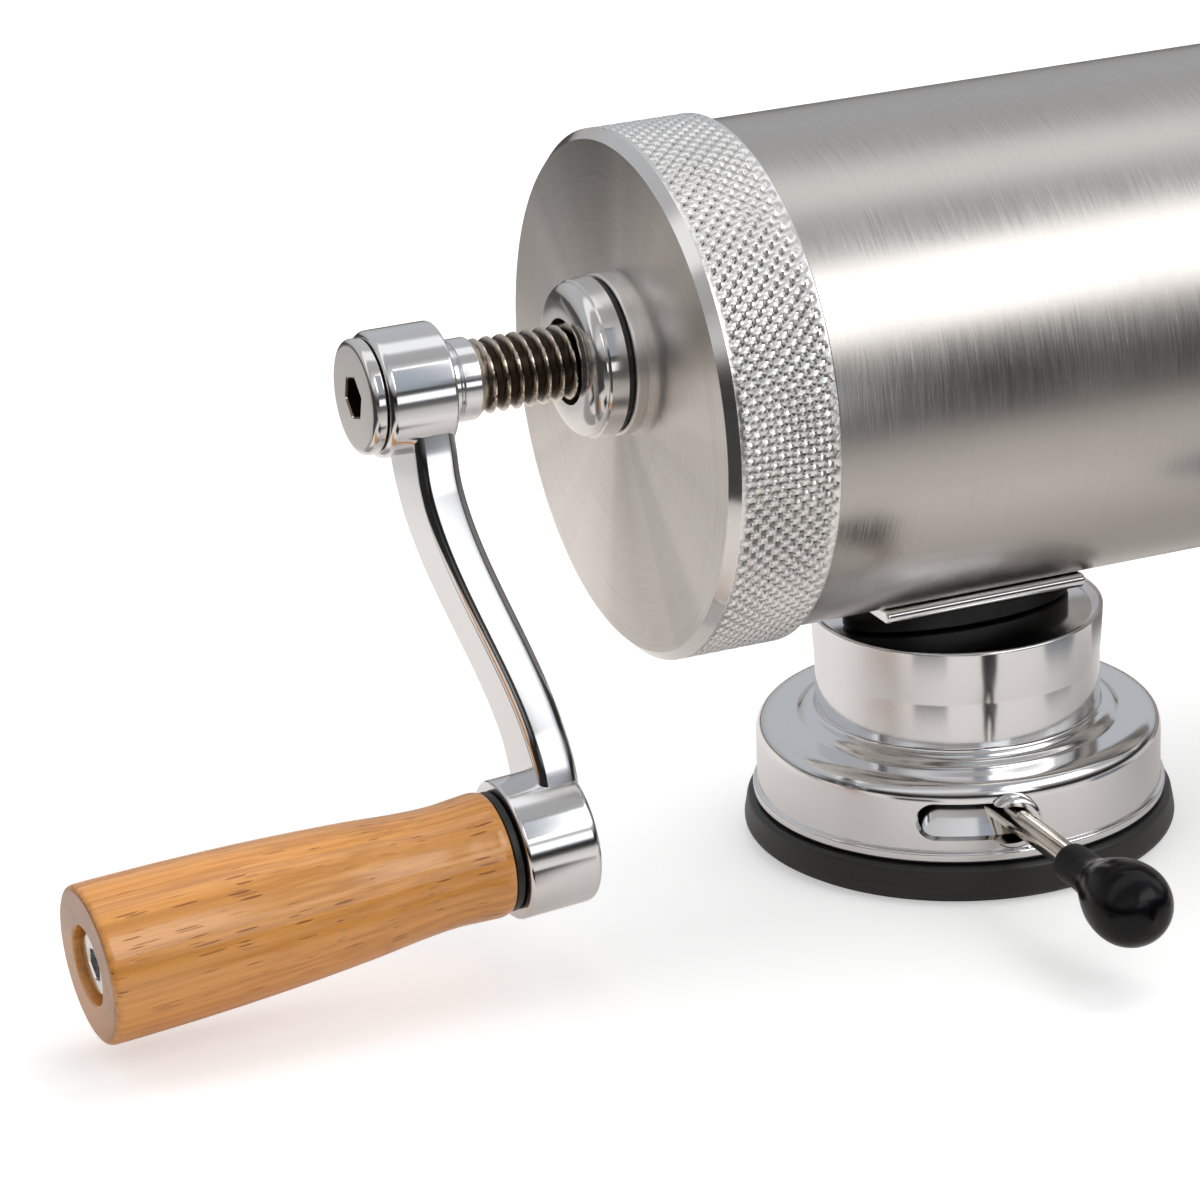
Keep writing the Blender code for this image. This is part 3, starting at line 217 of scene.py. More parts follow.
SADDLE_FOOT_LENGTH = 0.0450
SADDLE_FOOT_WIDTH = 0.0200
ROD_RADIUS = 0.0020
ROD_OFFSET = 0.0080
ROD_INNER = 0.0135
ROD_RISE = 0.0006
ROD_SWELL = 0.0003
ROD_SWELL_START = 0.0240
ROD_STATIONS = 48
KNOB_BALL_RADIUS = 0.0074
KNOB_SOCKET_DEPTH = 0.0160
KNOB_PROFILE_SHARES = (
    (0.00, 0.44),
    (0.03, 0.48),
    (0.22, 0.49),
    (0.34, 0.58),
    (0.46, 0.78),
    (0.58, 0.94),
    (0.70, 1.00),
    (0.80, 0.95),
    (0.89, 0.78),
    (0.96, 0.49),
    (1.00, 0.00),
)

# Places worked out from them
CAP_FACE = BOSS_FACE + BOSS_HEIGHT
CAP_INNER_FACE = CAP_FACE + CAP_PLATE
HUB_FRONT = SPACER_REAR - GAP
HUB_REAR = HUB_FRONT - UPPER_HUB_LENGTH
PIN_X = (HUB_FRONT + HUB_REAR) / 2 + PIN_INSET
HOUSING_BORE = FLANGE_RADIUS - HOUSING_WALL
LIP_RADIUS = FLANGE_RADIUS + LIP_WIDTH
FLANGE_TOP = HOUSING_BOTTOM + FLANGE_DEPTH
DISH_HEIGHT = PEDESTAL_TOP - DISH_DEPTH
SLOT_REST_ANGLE = -math.pi / 2 - math.asin(ROD_OFFSET / FLANGE_RADIUS)
SLOT_REACH = (ROD_RADIUS + SLOT_END_CLEARANCE) / FLANGE_RADIUS
SLOT_START = SLOT_REST_ANGLE + SLOT_REACH
SLOT_END = SLOT_REST_ANGLE - LEVER_SWING - SLOT_REACH

# Frames that the pieces are modelled in, with their own X along the axis they turn about
BARREL_AXIS = Matrix.Translation((0, 0, AXIS_HEIGHT))
FIXED_SCREW_AXIS = Matrix.Translation((0, 0, SCREW_HEIGHT))
SCREW_AXIS = FIXED_SCREW_AXIS @ Matrix.Rotation(-CRANK_ANGLE, 4, "X")
PIN_AXIS = SCREW_AXIS @ Matrix.Translation((PIN_X, 0, -CRANK_RADIUS)) @ Matrix.Rotation(-PIN_SPLAY, 4, "Y")
UPRIGHT_AXIS = Matrix.Rotation(-math.pi / 2, 4, "Y")
LEVER_AXIS = Matrix.Translation((0, 0, LEVER_HEIGHT))
KNOB_AXIS = (
    LEVER_AXIS @ Matrix.Translation((-ROD_OFFSET, KNOB_START, 0)) @ Matrix.Rotation(-math.pi / 2, 4, "Z")
)
UNMOVED = Matrix.Identity(4)

# The photograph's view
CAMERA_PLACE = (-0.3934, -0.7587, 0.3667)
CAMERA_ROWS = ((0.9137, 0.1749, -0.3668), (-0.4046, 0.3078, -0.8611), (-0.0377, 0.9352, 0.3520))
CAMERA_LENS = 150.56
CAMERA_SENSOR = 36
CAMERA_CLIP = (0.05, 30)


def length_setting(name, description, default, low, high):
    """Property of a length in metres."""
    return FloatProperty(
        name=name, description=description, default=default, min=low, max=high, precision=5,
        subtype="DISTANCE", unit="LENGTH",
    )


def colour_setting(name, description, default):
    """Property of a linear colour."""
    return FloatVectorProperty(
        name=name, description=description, default=default, min=0, max=1, subtype="COLOR"
    )


def power_setting(name, description, default):
    """Property of a light's power."""
    return FloatProperty(
        name=name, description=description, default=default, min=0, max=200, subtype="POWER", unit="POWER"
    )


class StufferShapes(bpy.types.PropertyGroup):
    """Sizes of the fine detail that the frame doesn't hold."""

    knurl_pitch: length_setting("Knurl pitch", "Distance between diamonds round a ring", 0.0029, 0.001, 0.006)
    knurl_depth: length_setting("Knurl depth", "Depth of one family of knurl grooves", 0.00046, 0, 0.001)
    thread_pitch: length_setting("Thread pitch", "Travel of the lead screw in one turn", 0.0025, 0.001, 0.005)
    thread_depth: length_setting("Thread depth", "Depth of the lead screw's thread", 0.0010, 0, 0.002)
    wood_flecks: IntProperty(
        name="Wood flecks", description="Rows of flecks in a metre across the grain", default=1900, min=100,
        max=4000,
    )


class StufferFinishes(bpy.types.PropertyGroup):
    """Colours of the finishes."""

    steel: colour_setting("Brushed steel", "Colour of the barrel and the caps", (0.60, 0.575, 0.55))
    chrome: colour_setting("Chrome", "Colour of the polished crank and base", (0.83, 0.83, 0.84))
    screw: colour_setting("Lead screw", "Colour of the lead screw's crests", (0.78, 0.71, 0.62))
    wood: colour_setting("Beech", "Main colour of the lacquered grip", (0.78, 0.350, 0.088))
    rubber: colour_setting("Rubber", "Colour of the pad and the seals", (0.003, 0.003, 0.0035))
    knob: colour_setting("Knob", "Colour of the lever's knob", (0.002, 0.002, 0.003))
    brass: colour_setting("Brass", "Colour of the cam and the stem's nut", (0.70, 0.50, 0.22))


class StufferStage(bpy.types.PropertyGroup):
    """Light and floor."""

    floor: colour_setting("Floor", "Colour of the floor", (0.75, 0.75, 0.75))
    floor_glow: FloatProperty(
        name="Floor glow", description="Light added to the floor, which softens shadows", default=0.45, min=0,
        max=2,
    )
    key_power: power_setting("Key light", "Power of the large light in front", 7.6)
    top_power: power_setting("Top light", "Power of the light overhead", 11)
    world_strength: FloatProperty(
        name="Surroundings", description="Brightness of the studio's walls", default=1.0, min=0, max=5
    )


# Node building


def put(tree, kind, inputs=(), **settings):
    """Add a shader node, set it up and fill its inputs with values or other nodes' outputs."""
    node = tree.nodes.new(kind)
    for key, value in settings.items():
        setattr(node, key, value)
    for key, value in dict(inputs).items():
        if isinstance(value, bpy.types.NodeSocket):
            tree.links.new(value, node.inputs[key])
        else:
            node.inputs[key].default_value = value
    return node


def math_of(tree, operation, first, second=0.0, third=0.0):
    """Output of one sum on numbers."""
    inputs = {0: first, 1: second, 2: third}
    return put(tree, "ShaderNodeMath", inputs, operation=operation).outputs[0]


def times(tree, first, second):
    """Product of two numbers."""
    return math_of(tree, "MULTIPLY", first, second)


def scaled(tree, value, factor, base):
    """A number times a factor, plus a base."""
    return math_of(tree, "MULTIPLY_ADD", value, factor, base)


def vector_of(tree, operation, **inputs):
    """Output node sockets of one sum on vectors; its inputs are called first, second and scale."""
    places = {"first": 0, "second": 1, "scale": 3}
    named = {places[key]: value for key, value in inputs.items()}
    return put(tree, "ShaderNodeVectorMath", named, operation=operation).outputs


def remap(tree, value, low, high, to_low=0.0, to_high=1.0):
    """A value's range smoothly turned into another."""
    inputs = {"Value": value, "From Min": low, "From Max": high, "To Min": to_low, "To Max": to_high}
    return put(tree, "ShaderNodeMapRange", inputs, interpolation_type="SMOOTHSTEP").outputs["Result"]


def window(tree, value, start, full, last_full, end):
    """Mask that rises from start to full and falls again from last_full to end."""
    return times(tree, remap(tree, value, start, full), remap(tree, value, end, last_full))


def blend_colours(tree, share, first, second, kind="MIX"):
    """Two colours mixed by a share."""
    node = put(tree, "ShaderNodeMix", data_type="RGBA", blend_type=kind)
    for socket, value in ((node.inputs[0], share), (node.inputs[6], first), (node.inputs[7], second)):
        if isinstance(value, bpy.types.NodeSocket):
            tree.links.new(value, socket)
        elif isinstance(value, float):
            socket.default_value = value
        else:
            socket.default_value = (*value[:3], 1)
    return node.outputs[2]


def noise(tree, vector, scale, detail=3.0, roughness=0.5):
    """Value of a noise texture."""
    inputs = {"Vector": vector, "Scale": scale, "Detail": detail, "Roughness": roughness}
    return put(tree, "ShaderNodeTexNoise", inputs).outputs["Fac"]


def object_place(tree):
    """The piece's own coordinates, in metres."""
    return put(tree, "ShaderNodeTexCoord").outputs["Object"]


def axes_of(tree, vector):
    """The three numbers of a vector."""
    return put(tree, "ShaderNodeSeparateXYZ", {0: vector}).outputs


def place_round_x(tree):
    """The piece's own coordinates as a number along X and a vector across it."""
    along, side, up = axes_of(tree, object_place(tree))
    return along, put(tree, "ShaderNodeCombineXYZ", {"Y": side, "Z": up}).outputs[0]


def stretched(tree, vector, scale):
    """Coordinates scaled unevenly, for grain that runs one way."""
    return put(tree, "ShaderNodeMapping", {"Vector": vector, "Scale": scale}).outputs["Vector"]


def group_sockets(name, inputs, outputs):
    """Empty node group with named sockets, and its input and output nodes."""
    tree = bpy.data.node_groups.new(name, "ShaderNodeTree")
    for label, kind, default in inputs:
        socket = tree.interface.new_socket(label, in_out="INPUT", socket_type=kind)
        socket.default_value = default
    for label, kind in outputs:
        tree.interface.new_socket(label, in_out="OUTPUT", socket_type=kind)
    return tree, tree.nodes.new("NodeGroupInput"), tree.nodes.new("NodeGroupOutput")


def lathe_brushing():
    """Fine lines round the piece's X axis, as a lathe or a brushing belt leaves them."""
    tree, given, result = group_sockets(
        "Lathe brushing",
        (("Lines per metre", "NodeSocketFloat", 2600.0), ("Breaks per metre", "NodeSocketFloat", 50.0)),
        (("Lines", "NodeSocketFloat"), ("Bands", "NodeSocketFloat")),
    )
    along, across = place_round_x(tree)
    lathe = math_of(tree, "ADD", along, vector_of(tree, "LENGTH", first=across)["Value"])
    fine = times(tree, lathe, given.outputs[0])
    broken = vector_of(tree, "SCALE", first=across, scale=given.outputs[1])[0]
    offset = put(tree, "ShaderNodeCombineXYZ", {"X": fine}).outputs[0]
    vector = vector_of(tree, "ADD", first=broken, second=offset)[0]
    tree.links.new(noise(tree, vector, 1.0, 4.0, 0.6), result.inputs[0])
    wide = vector_of(tree, "SCALE", first=vector, scale=0.12)[0]
    tree.links.new(noise(tree, wide, 1.0, 3.0, 0.5), result.inputs[1])
    return tree


def handling_marks():
    """Soft smudges and a few fine scratches."""
    tree, given, result = group_sockets(
        "Handling marks",
        (("Smudges per metre", "NodeSocketFloat", 45.0),),
        (("Smudges", "NodeSocketFloat"), ("Scratches", "NodeSocketFloat")),
    )
    place = object_place(tree)
    soft = noise(tree, place, given.outputs[0], 4.0, 0.6)
    tree.links.new(remap(tree, soft, 0.35, 0.75), result.inputs[0])
    scratch = noise(tree, stretched(tree, place, (90, 2200, 1400)), 1.0, 2.0, 0.4)
    tree.links.new(remap(tree, scratch, 0.70, 0.80), result.inputs[1])
    return tree


def cast_waviness():
    """Slow unevenness of a cast or spun surface under its polish."""
    tree, given, result = group_sockets(
        "Cast waviness", (("Waves per metre", "NodeSocketFloat", 70.0),), (("Height", "NodeSocketFloat"),)
    )
    place = object_place(tree)
    slow = noise(tree, place, given.outputs[0], 1.0, 0.4)
    fine = noise(tree, place, 900.0, 2.0, 0.5)
    tree.links.new(scaled(tree, fine, 0.03, slow), result.inputs[0])
    return tree


def groove_shade_and_dirt():
    """Painted shade with a patchy tone: hollows made darker and rougher where the mesh says how deep a groove
    is.
    """
    tree, given, result = group_sockets(
        "Groove shade and dirt",
        (
            ("Clean", "NodeSocketColor", (0.6, 0.6, 0.6, 1)),
            ("Dirty", "NodeSocketColor", (0.05, 0.04, 0.03, 1)),
            ("Starts at", "NodeSocketFloat", 0.5),
        ),
        (("Colour", "NodeSocketColor"), ("Dirt", "NodeSocketFloat")),
    )
    depth = put(tree, "ShaderNodeAttribute", attribute_name="groove").outputs["Fac"]
    patches = noise(tree, object_place(tree), 420.0, 3.0, 0.6)
    # painted shade: the colour darkens with the groove's depth, varied by noise patches
    level = math_of(tree, "ADD", depth, scaled(tree, patches, 0.3, -0.15))
    shade_and_dirt = remap(tree, level, given.outputs["Starts at"], 1.0)
    colour = blend_colours(tree, shade_and_dirt, given.outputs["Clean"], given.outputs["Dirty"])
    tree.links.new(colour, result.inputs[0])
    tree.links.new(shade_and_dirt, result.inputs[1])
    return tree


GROUP_MAKERS = {
    "Lathe brushing": lathe_brushing,
    "Handling marks": handling_marks,
    "Cast waviness": cast_waviness,
    "Groove shade and dirt": groove_shade_and_dirt,
}


def use_group(tree, name, **inputs):
    """Place a shared effect in a material; it is built the first time."""
    group = bpy.data.node_groups.get(name) or GROUP_MAKERS[name]()
    node = put(tree, "ShaderNodeGroup", node_tree=group)
    for key, value in inputs.items():
        node.inputs[key.replace("_", " ")].default_value = value
    return node.outputs


def surface(name, metallic, roughness, **fixed):
    """New material with its Principled BSDF; fixed values go on the shader's own sockets."""
    finish = bpy.data.materials.new(name)
    finish.use_nodes = True
    shader = finish.node_tree.nodes["Principled BSDF"]
    for key, value in {"Metallic": metallic, "Roughness": roughness, **fixed}.items():
        shader.inputs[key.replace("_", " ")].default_value = value
    return finish, finish.node_tree, shader


def smudged(name, metallic, roughness, scale, colours, smudge_share, least, **fixed):
    """New material whose smudges lead from one colour to another and add to the least roughness."""
    finish, tree, shader = surface(name, metallic, roughness, **fixed)
    smudges = use_group(tree, "Handling marks", Smudges_per_metre=scale)["Smudges"]
    rough = scaled(tree, smudges, smudge_share, least)
    feed(tree, shader, Base_Color=blend_colours(tree, smudges, *colours), Roughness=rough)
    return finish, tree, shader


def feed(tree, shader, **links):
    """Link values that vary over the surface to the shader's sockets."""
    for key, value in links.items():
        tree.links.new(value, shader.inputs[key.replace("_", " ")])


def bump(tree, height, distance):
    """Normal bent by a height."""
    return put(tree, "ShaderNodeBump", {"Height": height, "Distance": distance}).outputs["Normal"]


def around_x(tree):
    """Direction of the brushing, round the piece's X axis."""
    return put(tree, "ShaderNodeTangent", direction_type="RADIAL", axis="X").outputs[0]


# Finishes


def finishes():
    """The colours as they are set now."""
    return bpy.context.scene.stuffer_finishes


def shapes():
    """The fine sizes as they are set now."""
    return bpy.context.scene.stuffer_shapes


def shaded(colour, share):
    """A colour times a share."""
    return [channel * share for channel in colour]


def tinted(colour, shares):
    """A colour times a share for each channel."""
    return [channel * share for channel, share in zip(colour, shares)]


def brushed_steel(name, lines, breaks, contrast, anisotropic, roughness, fan_reflection_depth, painted_light_gain):
    """Steel brushed in circles round the piece's X axis; its colour is scaled by a brightness factor, painted
    light where it lifts the colour, and darkened in radial wedges as a painted reflection of the fan-shaped
    highlights that a turned face shows.
    """
    finish, tree, shader = surface(name, 1.0, roughness, Anisotropic=anisotropic)
    marks = use_group(tree, "Lathe brushing", Lines_per_metre=lines, Breaks_per_metre=breaks)
    smudges = use_group(tree, "Handling marks", Smudges_per_metre=22.0)
    # painted light: the steel's colour is scaled, and for the face steel lifted well above the tube's
    base = shaded(finishes().steel, painted_light_gain)
    light = [min(channel, 1) for channel in shaded(base, 1 + contrast)]
    tint = blend_colours(tree, remap(tree, marks["Lines"], 0.3, 0.7), shaded(base, 1 - contrast), light)
    tint = blend_colours(tree, remap(tree, marks["Bands"], 0.35, 0.65), tint, base)
    heading = vector_of(tree, "NORMALIZE", first=place_round_x(tree)[1])[0]
    # painted reflection: radial wedges of darker colour stand in for the fan-shaped highlights of a turned
    # face
    wedges = remap(tree, noise(tree, heading, 2.6, 2.0, 0.5), 0.35, 0.65)
    shade = blend_colours(tree, wedges, (1 - fan_reflection_depth, 1 - fan_reflection_depth, 1 - fan_reflection_depth), (1.0, 1.0, 1.0))
    tint = blend_colours(tree, 1.0, tint, shade, "MULTIPLY")
    rough = scaled(tree, marks["Lines"], 0.16, roughness - 0.08)
    rough = scaled(tree, smudges["Smudges"], 0.05, rough)
    feed(tree, shader, Base_Color=tint, Roughness=rough, Tangent=around_x(tree))
    feed(tree, shader, Normal=bump(tree, marks["Lines"], 0.000007))
    return finish


def knurled_steel():
    """Bright knurl with dark pits painted as shade in the grooves."""
    finish, tree, shader = surface("knurled_steel", 1.0, 0.25)
    # painted shade: the near-black pit colour darkens the knurl's grooves
    bright, pits = (0.94, 0.93, 0.92, 1), (0.035, 0.028, 0.024, 1)
    shade_and_dirt = use_group(tree, "Groove shade and dirt", Clean=bright, Dirty=pits, Starts_at=0.34)
    fine = noise(tree, object_place(tree), 1800.0, 2.0, 0.6)
    rough = scaled(tree, fine, 0.12, scaled(tree, shade_and_dirt["Dirt"], 0.35, 0.22))
    feed(tree, shader, Base_Color=shade_and_dirt["Colour"], Roughness=rough, Normal=bump(tree, fine, 0.00003))
    return finish


def polished_steel():
    """Turned and polished steel."""
    colours = (0.80, 0.79, 0.78), (0.74, 0.73, 0.72)
    finish, tree, shader = smudged("polished_steel", 1.0, 0.10, 70.0, colours, 0.06, 0.07)
    marks = use_group(tree, "Lathe brushing", Lines_per_metre=3800.0, Breaks_per_metre=12.0)
    feed(tree, shader, Normal=bump(tree, marks["Lines"], 0.000003))
    return finish


def satin_steel():
    """Turned steel left with a fine satin."""
    finish, tree, shader = surface("satin_steel", 1.0, 0.34, Anisotropic=0.5)
    marks = use_group(tree, "Lathe brushing", Lines_per_metre=3200.0, Breaks_per_metre=30.0)
    tint = blend_colours(tree, remap(tree, marks["Lines"], 0.3, 0.7), (0.78, 0.76, 0.74), (0.88, 0.86, 0.84))
    rough = scaled(tree, marks["Lines"], 0.12, 0.30)
    feed(tree, shader, Base_Color=tint, Roughness=rough, Tangent=around_x(tree))
    feed(tree, shader, Normal=bump(tree, marks["Lines"], 0.000008))
    return finish


def chrome():
    """Plated and polished casting or spinning."""
    finish, tree, shader = surface("chrome", 1.0, 0.05)
    marks = use_group(tree, "Handling marks", Smudges_per_metre=55.0)
    waves = use_group(tree, "Cast waviness", Waves_per_metre=75.0)
    base = finishes().chrome
    tint = blend_colours(tree, marks["Smudges"], base, shaded(base, 0.95))
    rough = scaled(tree, marks["Scratches"], 0.10, scaled(tree, marks["Smudges"], 0.035, 0.035))
    feed(tree, shader, Base_Color=tint, Roughness=rough, Normal=bump(tree, waves["Height"], 0.00003))
    return finish


def nickel_rod():
    """Warm nickel on the lever's rod."""
    colours = (0.72, 0.67, 0.60), (0.58, 0.51, 0.43)
    finish, tree, shader = smudged("nickel_rod", 1.0, 0.14, 90.0, colours, 0.10, 0.10)
    waves = use_group(tree, "Cast waviness", Waves_per_metre=160.0)
    feed(tree, shader, Normal=bump(tree, waves["Height"], 0.00004))
    return finish


def screw_metal():
    """Dark nickel-bronze thread with bright crests and roots darkened as painted shade."""
    finish, tree, shader = surface("screw_metal", 1.0, 0.22)
    clean = (*finishes().screw, 1)
    # painted shade: the near-black colour fills the thread's roots from just below the crests
    shade_and_dirt = use_group(tree, "Groove shade and dirt", Clean=clean, Dirty=(0.035, 0.025, 0.018, 1), Starts_at=0.02)
    smudges = use_group(tree, "Handling marks", Smudges_per_metre=200.0)["Smudges"]
    tint = blend_colours(tree, smudges, shade_and_dirt["Colour"], (0.85, 0.80, 0.72), "MULTIPLY")
    rough = scaled(tree, smudges, 0.08, scaled(tree, shade_and_dirt["Dirt"], 0.18, 0.14))
    fine = noise(tree, object_place(tree), 2600.0, 2.0, 0.6)
    feed(tree, shader, Base_Color=tint, Roughness=rough, Normal=bump(tree, fine, 0.00002))
    return finish


def wood_flecks(tree, place, length_scale):
    """Short dark flecks that sway along the grain."""
    rows = float(shapes().wood_flecks)
    sway = put(tree, "ShaderNodeTexNoise", {"Vector": place, "Scale": 60.0, "Detail": 2.0}).outputs["Color"]
    dashes = stretched(tree, place, (length_scale, rows, rows))
    bent = vector_of(tree, "ADD", first=dashes, second=sway)[0]
    cells = put(tree, "ShaderNodeTexVoronoi", {"Vector": bent, "Scale": 1.0}, feature="F1")
    size = put(tree, "ShaderNodeSeparateColor", {0: cells.outputs["Color"]}).outputs
    reach = math_of(tree, "SUBTRACT", scaled(tree, size[0], 0.62, -0.20), cells.outputs["Distance"])
    return times(tree, remap(tree, reach, 0.0, 0.12), scaled(tree, size[1], 0.75, 0.15))


def beech(name, end_grain):
    """Lacquered beech: warm bands along the grain with short dark flecks, or the pinker end grain."""
    finish, tree, shader = surface(
        name, 0.0, 0.38, Coat_Weight=0.7, Coat_Roughness=0.14, Coat_IOR=1.8, Specular_IOR_Level=0.1
    )
    wood = finishes().wood
    if end_grain:
        light, dark = tinted(wood, (0.54, 0.46, 0.72)), tinted(wood, (0.30, 0.24, 0.34))
        grain_scale, fleck_scale, fleck_share = (150, 70, 300), 1800, 0.4
    else:
        light, dark = shaded(wood, 1.22), tinted(wood, (0.74, 0.62, 0.52))
        grain_scale, fleck_scale, fleck_share = (9, 900, 900), 115, 0.95
    place = object_place(tree)
    fine = noise(tree, stretched(tree, place, grain_scale), 1.0, 4.0, 0.65)
    slow = noise(tree, stretched(tree, place, (9, 60, 60)), 1.0, 2.0, 0.5)
    fleck = wood_flecks(tree, place, fleck_scale)
    tint = blend_colours(tree, remap(tree, fine, 0.32, 0.68), dark, light)
    tint = blend_colours(tree, remap(tree, slow, 0.35, 0.65, 0.15, 0.65), tint, wood)
    tint = blend_colours(tree, times(tree, fleck, fleck_share), tint, tinted(wood, (0.36, 0.22, 0.14)))
    fibre = noise(tree, stretched(tree, place, (30, 1500, 1500)), 1.0, 2.0, 0.5)
    pores = bump(tree, scaled(tree, fibre, 0.22, times(tree, fleck, -1.0)), 0.00014)
    rough = scaled(tree, fine, 0.16, 0.26)
    feed(tree, shader, Base_Color=tint, Roughness=rough, Normal=pores, Coat_Normal=pores)
    return finish


def rubber():
    """Black rubber with a satin bloom."""
    base = finishes().rubber
    colours = base, [channel + 0.002 for channel in base]
    finish, tree, shader = smudged("rubber", 0.0, 0.55, 60.0, colours, 0.12, 0.44, Specular_IOR_Level=0.07)
    grain = noise(tree, object_place(tree), 2200.0, 3.0, 0.6)
    feed(tree, shader, Normal=bump(tree, grain, 0.00003))
    return finish


def knob_plastic():
    """Black plastic, satin on the sleeve and glossy on the ball."""
    finish, tree, shader = surface("knob_plastic", 0.0, 0.2, Specular_IOR_Level=0.22)
    place = object_place(tree)
    length = KNOB_START - KNOB_END
    sleeve_share = remap(tree, axes_of(tree, place)[0], length * 0.26, length * 0.36, 1.0, 0.0)
    smudges = use_group(tree, "Handling marks", Smudges_per_metre=120.0)["Smudges"]
    base = finishes().knob
    tint = blend_colours(tree, sleeve_share, base, [channel + 0.006 for channel in base])
    rough = scaled(tree, smudges, 0.07, scaled(tree, sleeve_share, 0.26, 0.15))
    peel = noise(tree, place, 700.0, 2.0, 0.5)
    feed(tree, shader, Base_Color=tint, Roughness=rough, Normal=bump(tree, peel, 0.00003))
    return finish


def inner_metal(name, colour, roughness):
    """Plain machined metal of the hidden pieces, and the dark metal that paints shade in the end screw's
    socket and under the saddle.
    """
    finish, tree, shader = smudged(
        name, 1.0, roughness, 90.0, (colour, shaded(colour, 0.82)), 0.12, roughness
    )
    fine = noise(tree, object_place(tree), 1500.0, 3.0, 0.6)
    feed(tree, shader, Normal=bump(tree, fine, 0.00002))
    return finish


def ramp(tree, value, stops):
    """Colours along a value from 0 to 1."""
    node = put(tree, "ShaderNodeValToRGB", {"Fac": value})
    node.color_ramp.interpolation = "EASE"
    while len(node.color_ramp.elements) < len(stops):
        node.color_ramp.elements.new(1)
    for element, (place, colour) in zip(node.color_ramp.elements, stops):
        element.position = place
        element.color = (*colour, 1)
    return node.outputs["Color"]


def floor_painted_reflection(tree, place):
    """Painted reflection: the floor's colour for all rays but the camera's, which the metal mirrors: light in
    the middle, with darker wedges and a strip.
    """
    along, side, _ = axes_of(tree, place)
    away = vector_of(tree, "LENGTH", first=place)["Value"]
    from_centre = vector_of(tree, "DISTANCE", first=place, second=FLOOR_CENTRE)["Value"]
    stops = [(share, shaded(FLOOR_WARMTH, light)) for share, light in FLOOR_LIGHT]
    spread = ramp(tree, math_of(tree, "DIVIDE", from_centre, FLOOR_REACH), stops)
    turn = math_of(tree, "DEGREES", math_of(tree, "ARCTAN2", side, along))
    turn = scaled(tree, math_of(tree, "LESS_THAN", turn, 0.0), 360.0, turn)
    sway = math_of(tree, "SUBTRACT", noise(tree, place, 30.0, 2.0, 0.5), 0.5)
    turn = scaled(tree, sway, FLOOR_SWAY, turn)
    for low, high, near, far, shade in FLOOR_SHADES:
        wedge = window(tree, turn, low - 3, low + 3, high - 3, high + 3)
        band = window(tree, away, near, near + 0.02, far, far + 0.03)
        spread = blend_colours(tree, times(tree, wedge, band), spread, shade)
    low, high, slope, shade = FLOOR_STRIP
    strip_share = window(tree, scaled(tree, side, slope, along), low - 0.004, low, high, high + 0.004)
    strip_share = times(tree, strip_share, remap(tree, side, 0.01, 0.03))
    return blend_colours(tree, strip_share, spread, shade)


def floor_paint():
    """Pale matt floor to the camera; to all other rays it shows a painted reflection, warmer and falling off
    with distance.
    """
    finish, tree, shader = surface(
        "floor_paint", 0.0, 0.9, Specular_IOR_Level=0.0, Emission_Color=(1, 1, 1, 1)
    )
    stage = bpy.context.scene.stuffer_stage
    place = object_place(tree)
    # painted reflection: only camera rays see the pale floor; all other rays see the darker painted spread
    seen = put(tree, "ShaderNodeLightPath").outputs["Is Camera Ray"]
    pale = blend_colours(tree, noise(tree, place, 3.0, 3.0, 0.5), stage.floor, shaded(stage.floor, 0.985))
    tint = blend_colours(tree, seen, floor_painted_reflection(tree, place), pale)
    feed(tree, shader, Base_Color=tint, Emission_Strength=times(tree, seen, stage.floor_glow))
    return finish


MATERIAL_MAKERS = {
    # painted light: the face steel's colour is lifted 1.42 times; both steels carry painted reflection
    # wedges, stronger on the face
    "tube_steel": lambda: brushed_steel("tube_steel", 3000.0, 110.0, 0.05, 0.74, 0.21, 0.03, 1.0),
    "face_steel": lambda: brushed_steel("face_steel", 2600.0, 60.0, 0.10, 0.80, 0.32, 0.12, 1.42),
    "knurled_steel": knurled_steel,
    "polished_steel": polished_steel,
    "satin_steel": satin_steel,
    "chrome": chrome,
    "nickel_rod": nickel_rod,
    "screw_metal": screw_metal,
    "beech_side": lambda: beech("beech_side", False),
    "beech_end": lambda: beech("beech_end", True),
    "rubber": rubber,
    "knob_plastic": knob_plastic,
    "inner_steel": lambda: inner_metal("inner_steel", (0.58, 0.57, 0.56), 0.30),
    # painted shade: dark brown steel that stands in for the shade inside the end screw's socket
    "socket_shade_steel": lambda: inner_metal("socket_shade_steel", (0.20, 0.15, 0.11), 0.22),
    # painted shade: near-black steel for the shadowed underside of the saddle's cradle and its foot
    "shade_black_steel": lambda: inner_metal("shade_black_steel", (0.03, 0.03, 0.03), 0.35),
    "bronze": lambda: inner_metal("bronze", (0.46, 0.34, 0.22), 0.32),
    "brass": lambda: inner_metal("brass", tuple(finishes().brass), 0.30),
    "floor_paint": floor_paint,
}


def material(name):
    """A finish by name; it is made the first time."""
    return bpy.data.materials.get(name) or MATERIAL_MAKERS[name]()


# Mesh building


def rounded(corners, closed=True):
    """Points of an outline whose corners, (u, v, fillet radius), are rounded."""
    points = []
    count = len(corners)
    for index, (u, v, fillet) in enumerate(corners):
        corner = Vector((u, v))
        if fillet == 0 or (not closed and index in (0, count - 1)):
            points.append(corner)
            continue
        before = Vector(corners[index - 1][:2]) - corner
        after = Vector(corners[(index + 1) % count][:2]) - corner
        turn = before.angle(after)
        reach = min(fillet / math.tan(turn / 2), before.length / 2, after.length / 2)
        start = corner + before.normalized() * reach
        end = corner + after.normalized() * reach
        for step in range(FILLET_STEPS + 1):
            share = step / FILLET_STEPS
            points.append((1 - share) ** 2 * start + 2 * share * (1 - share) * corner + share ** 2 * end)
    return points


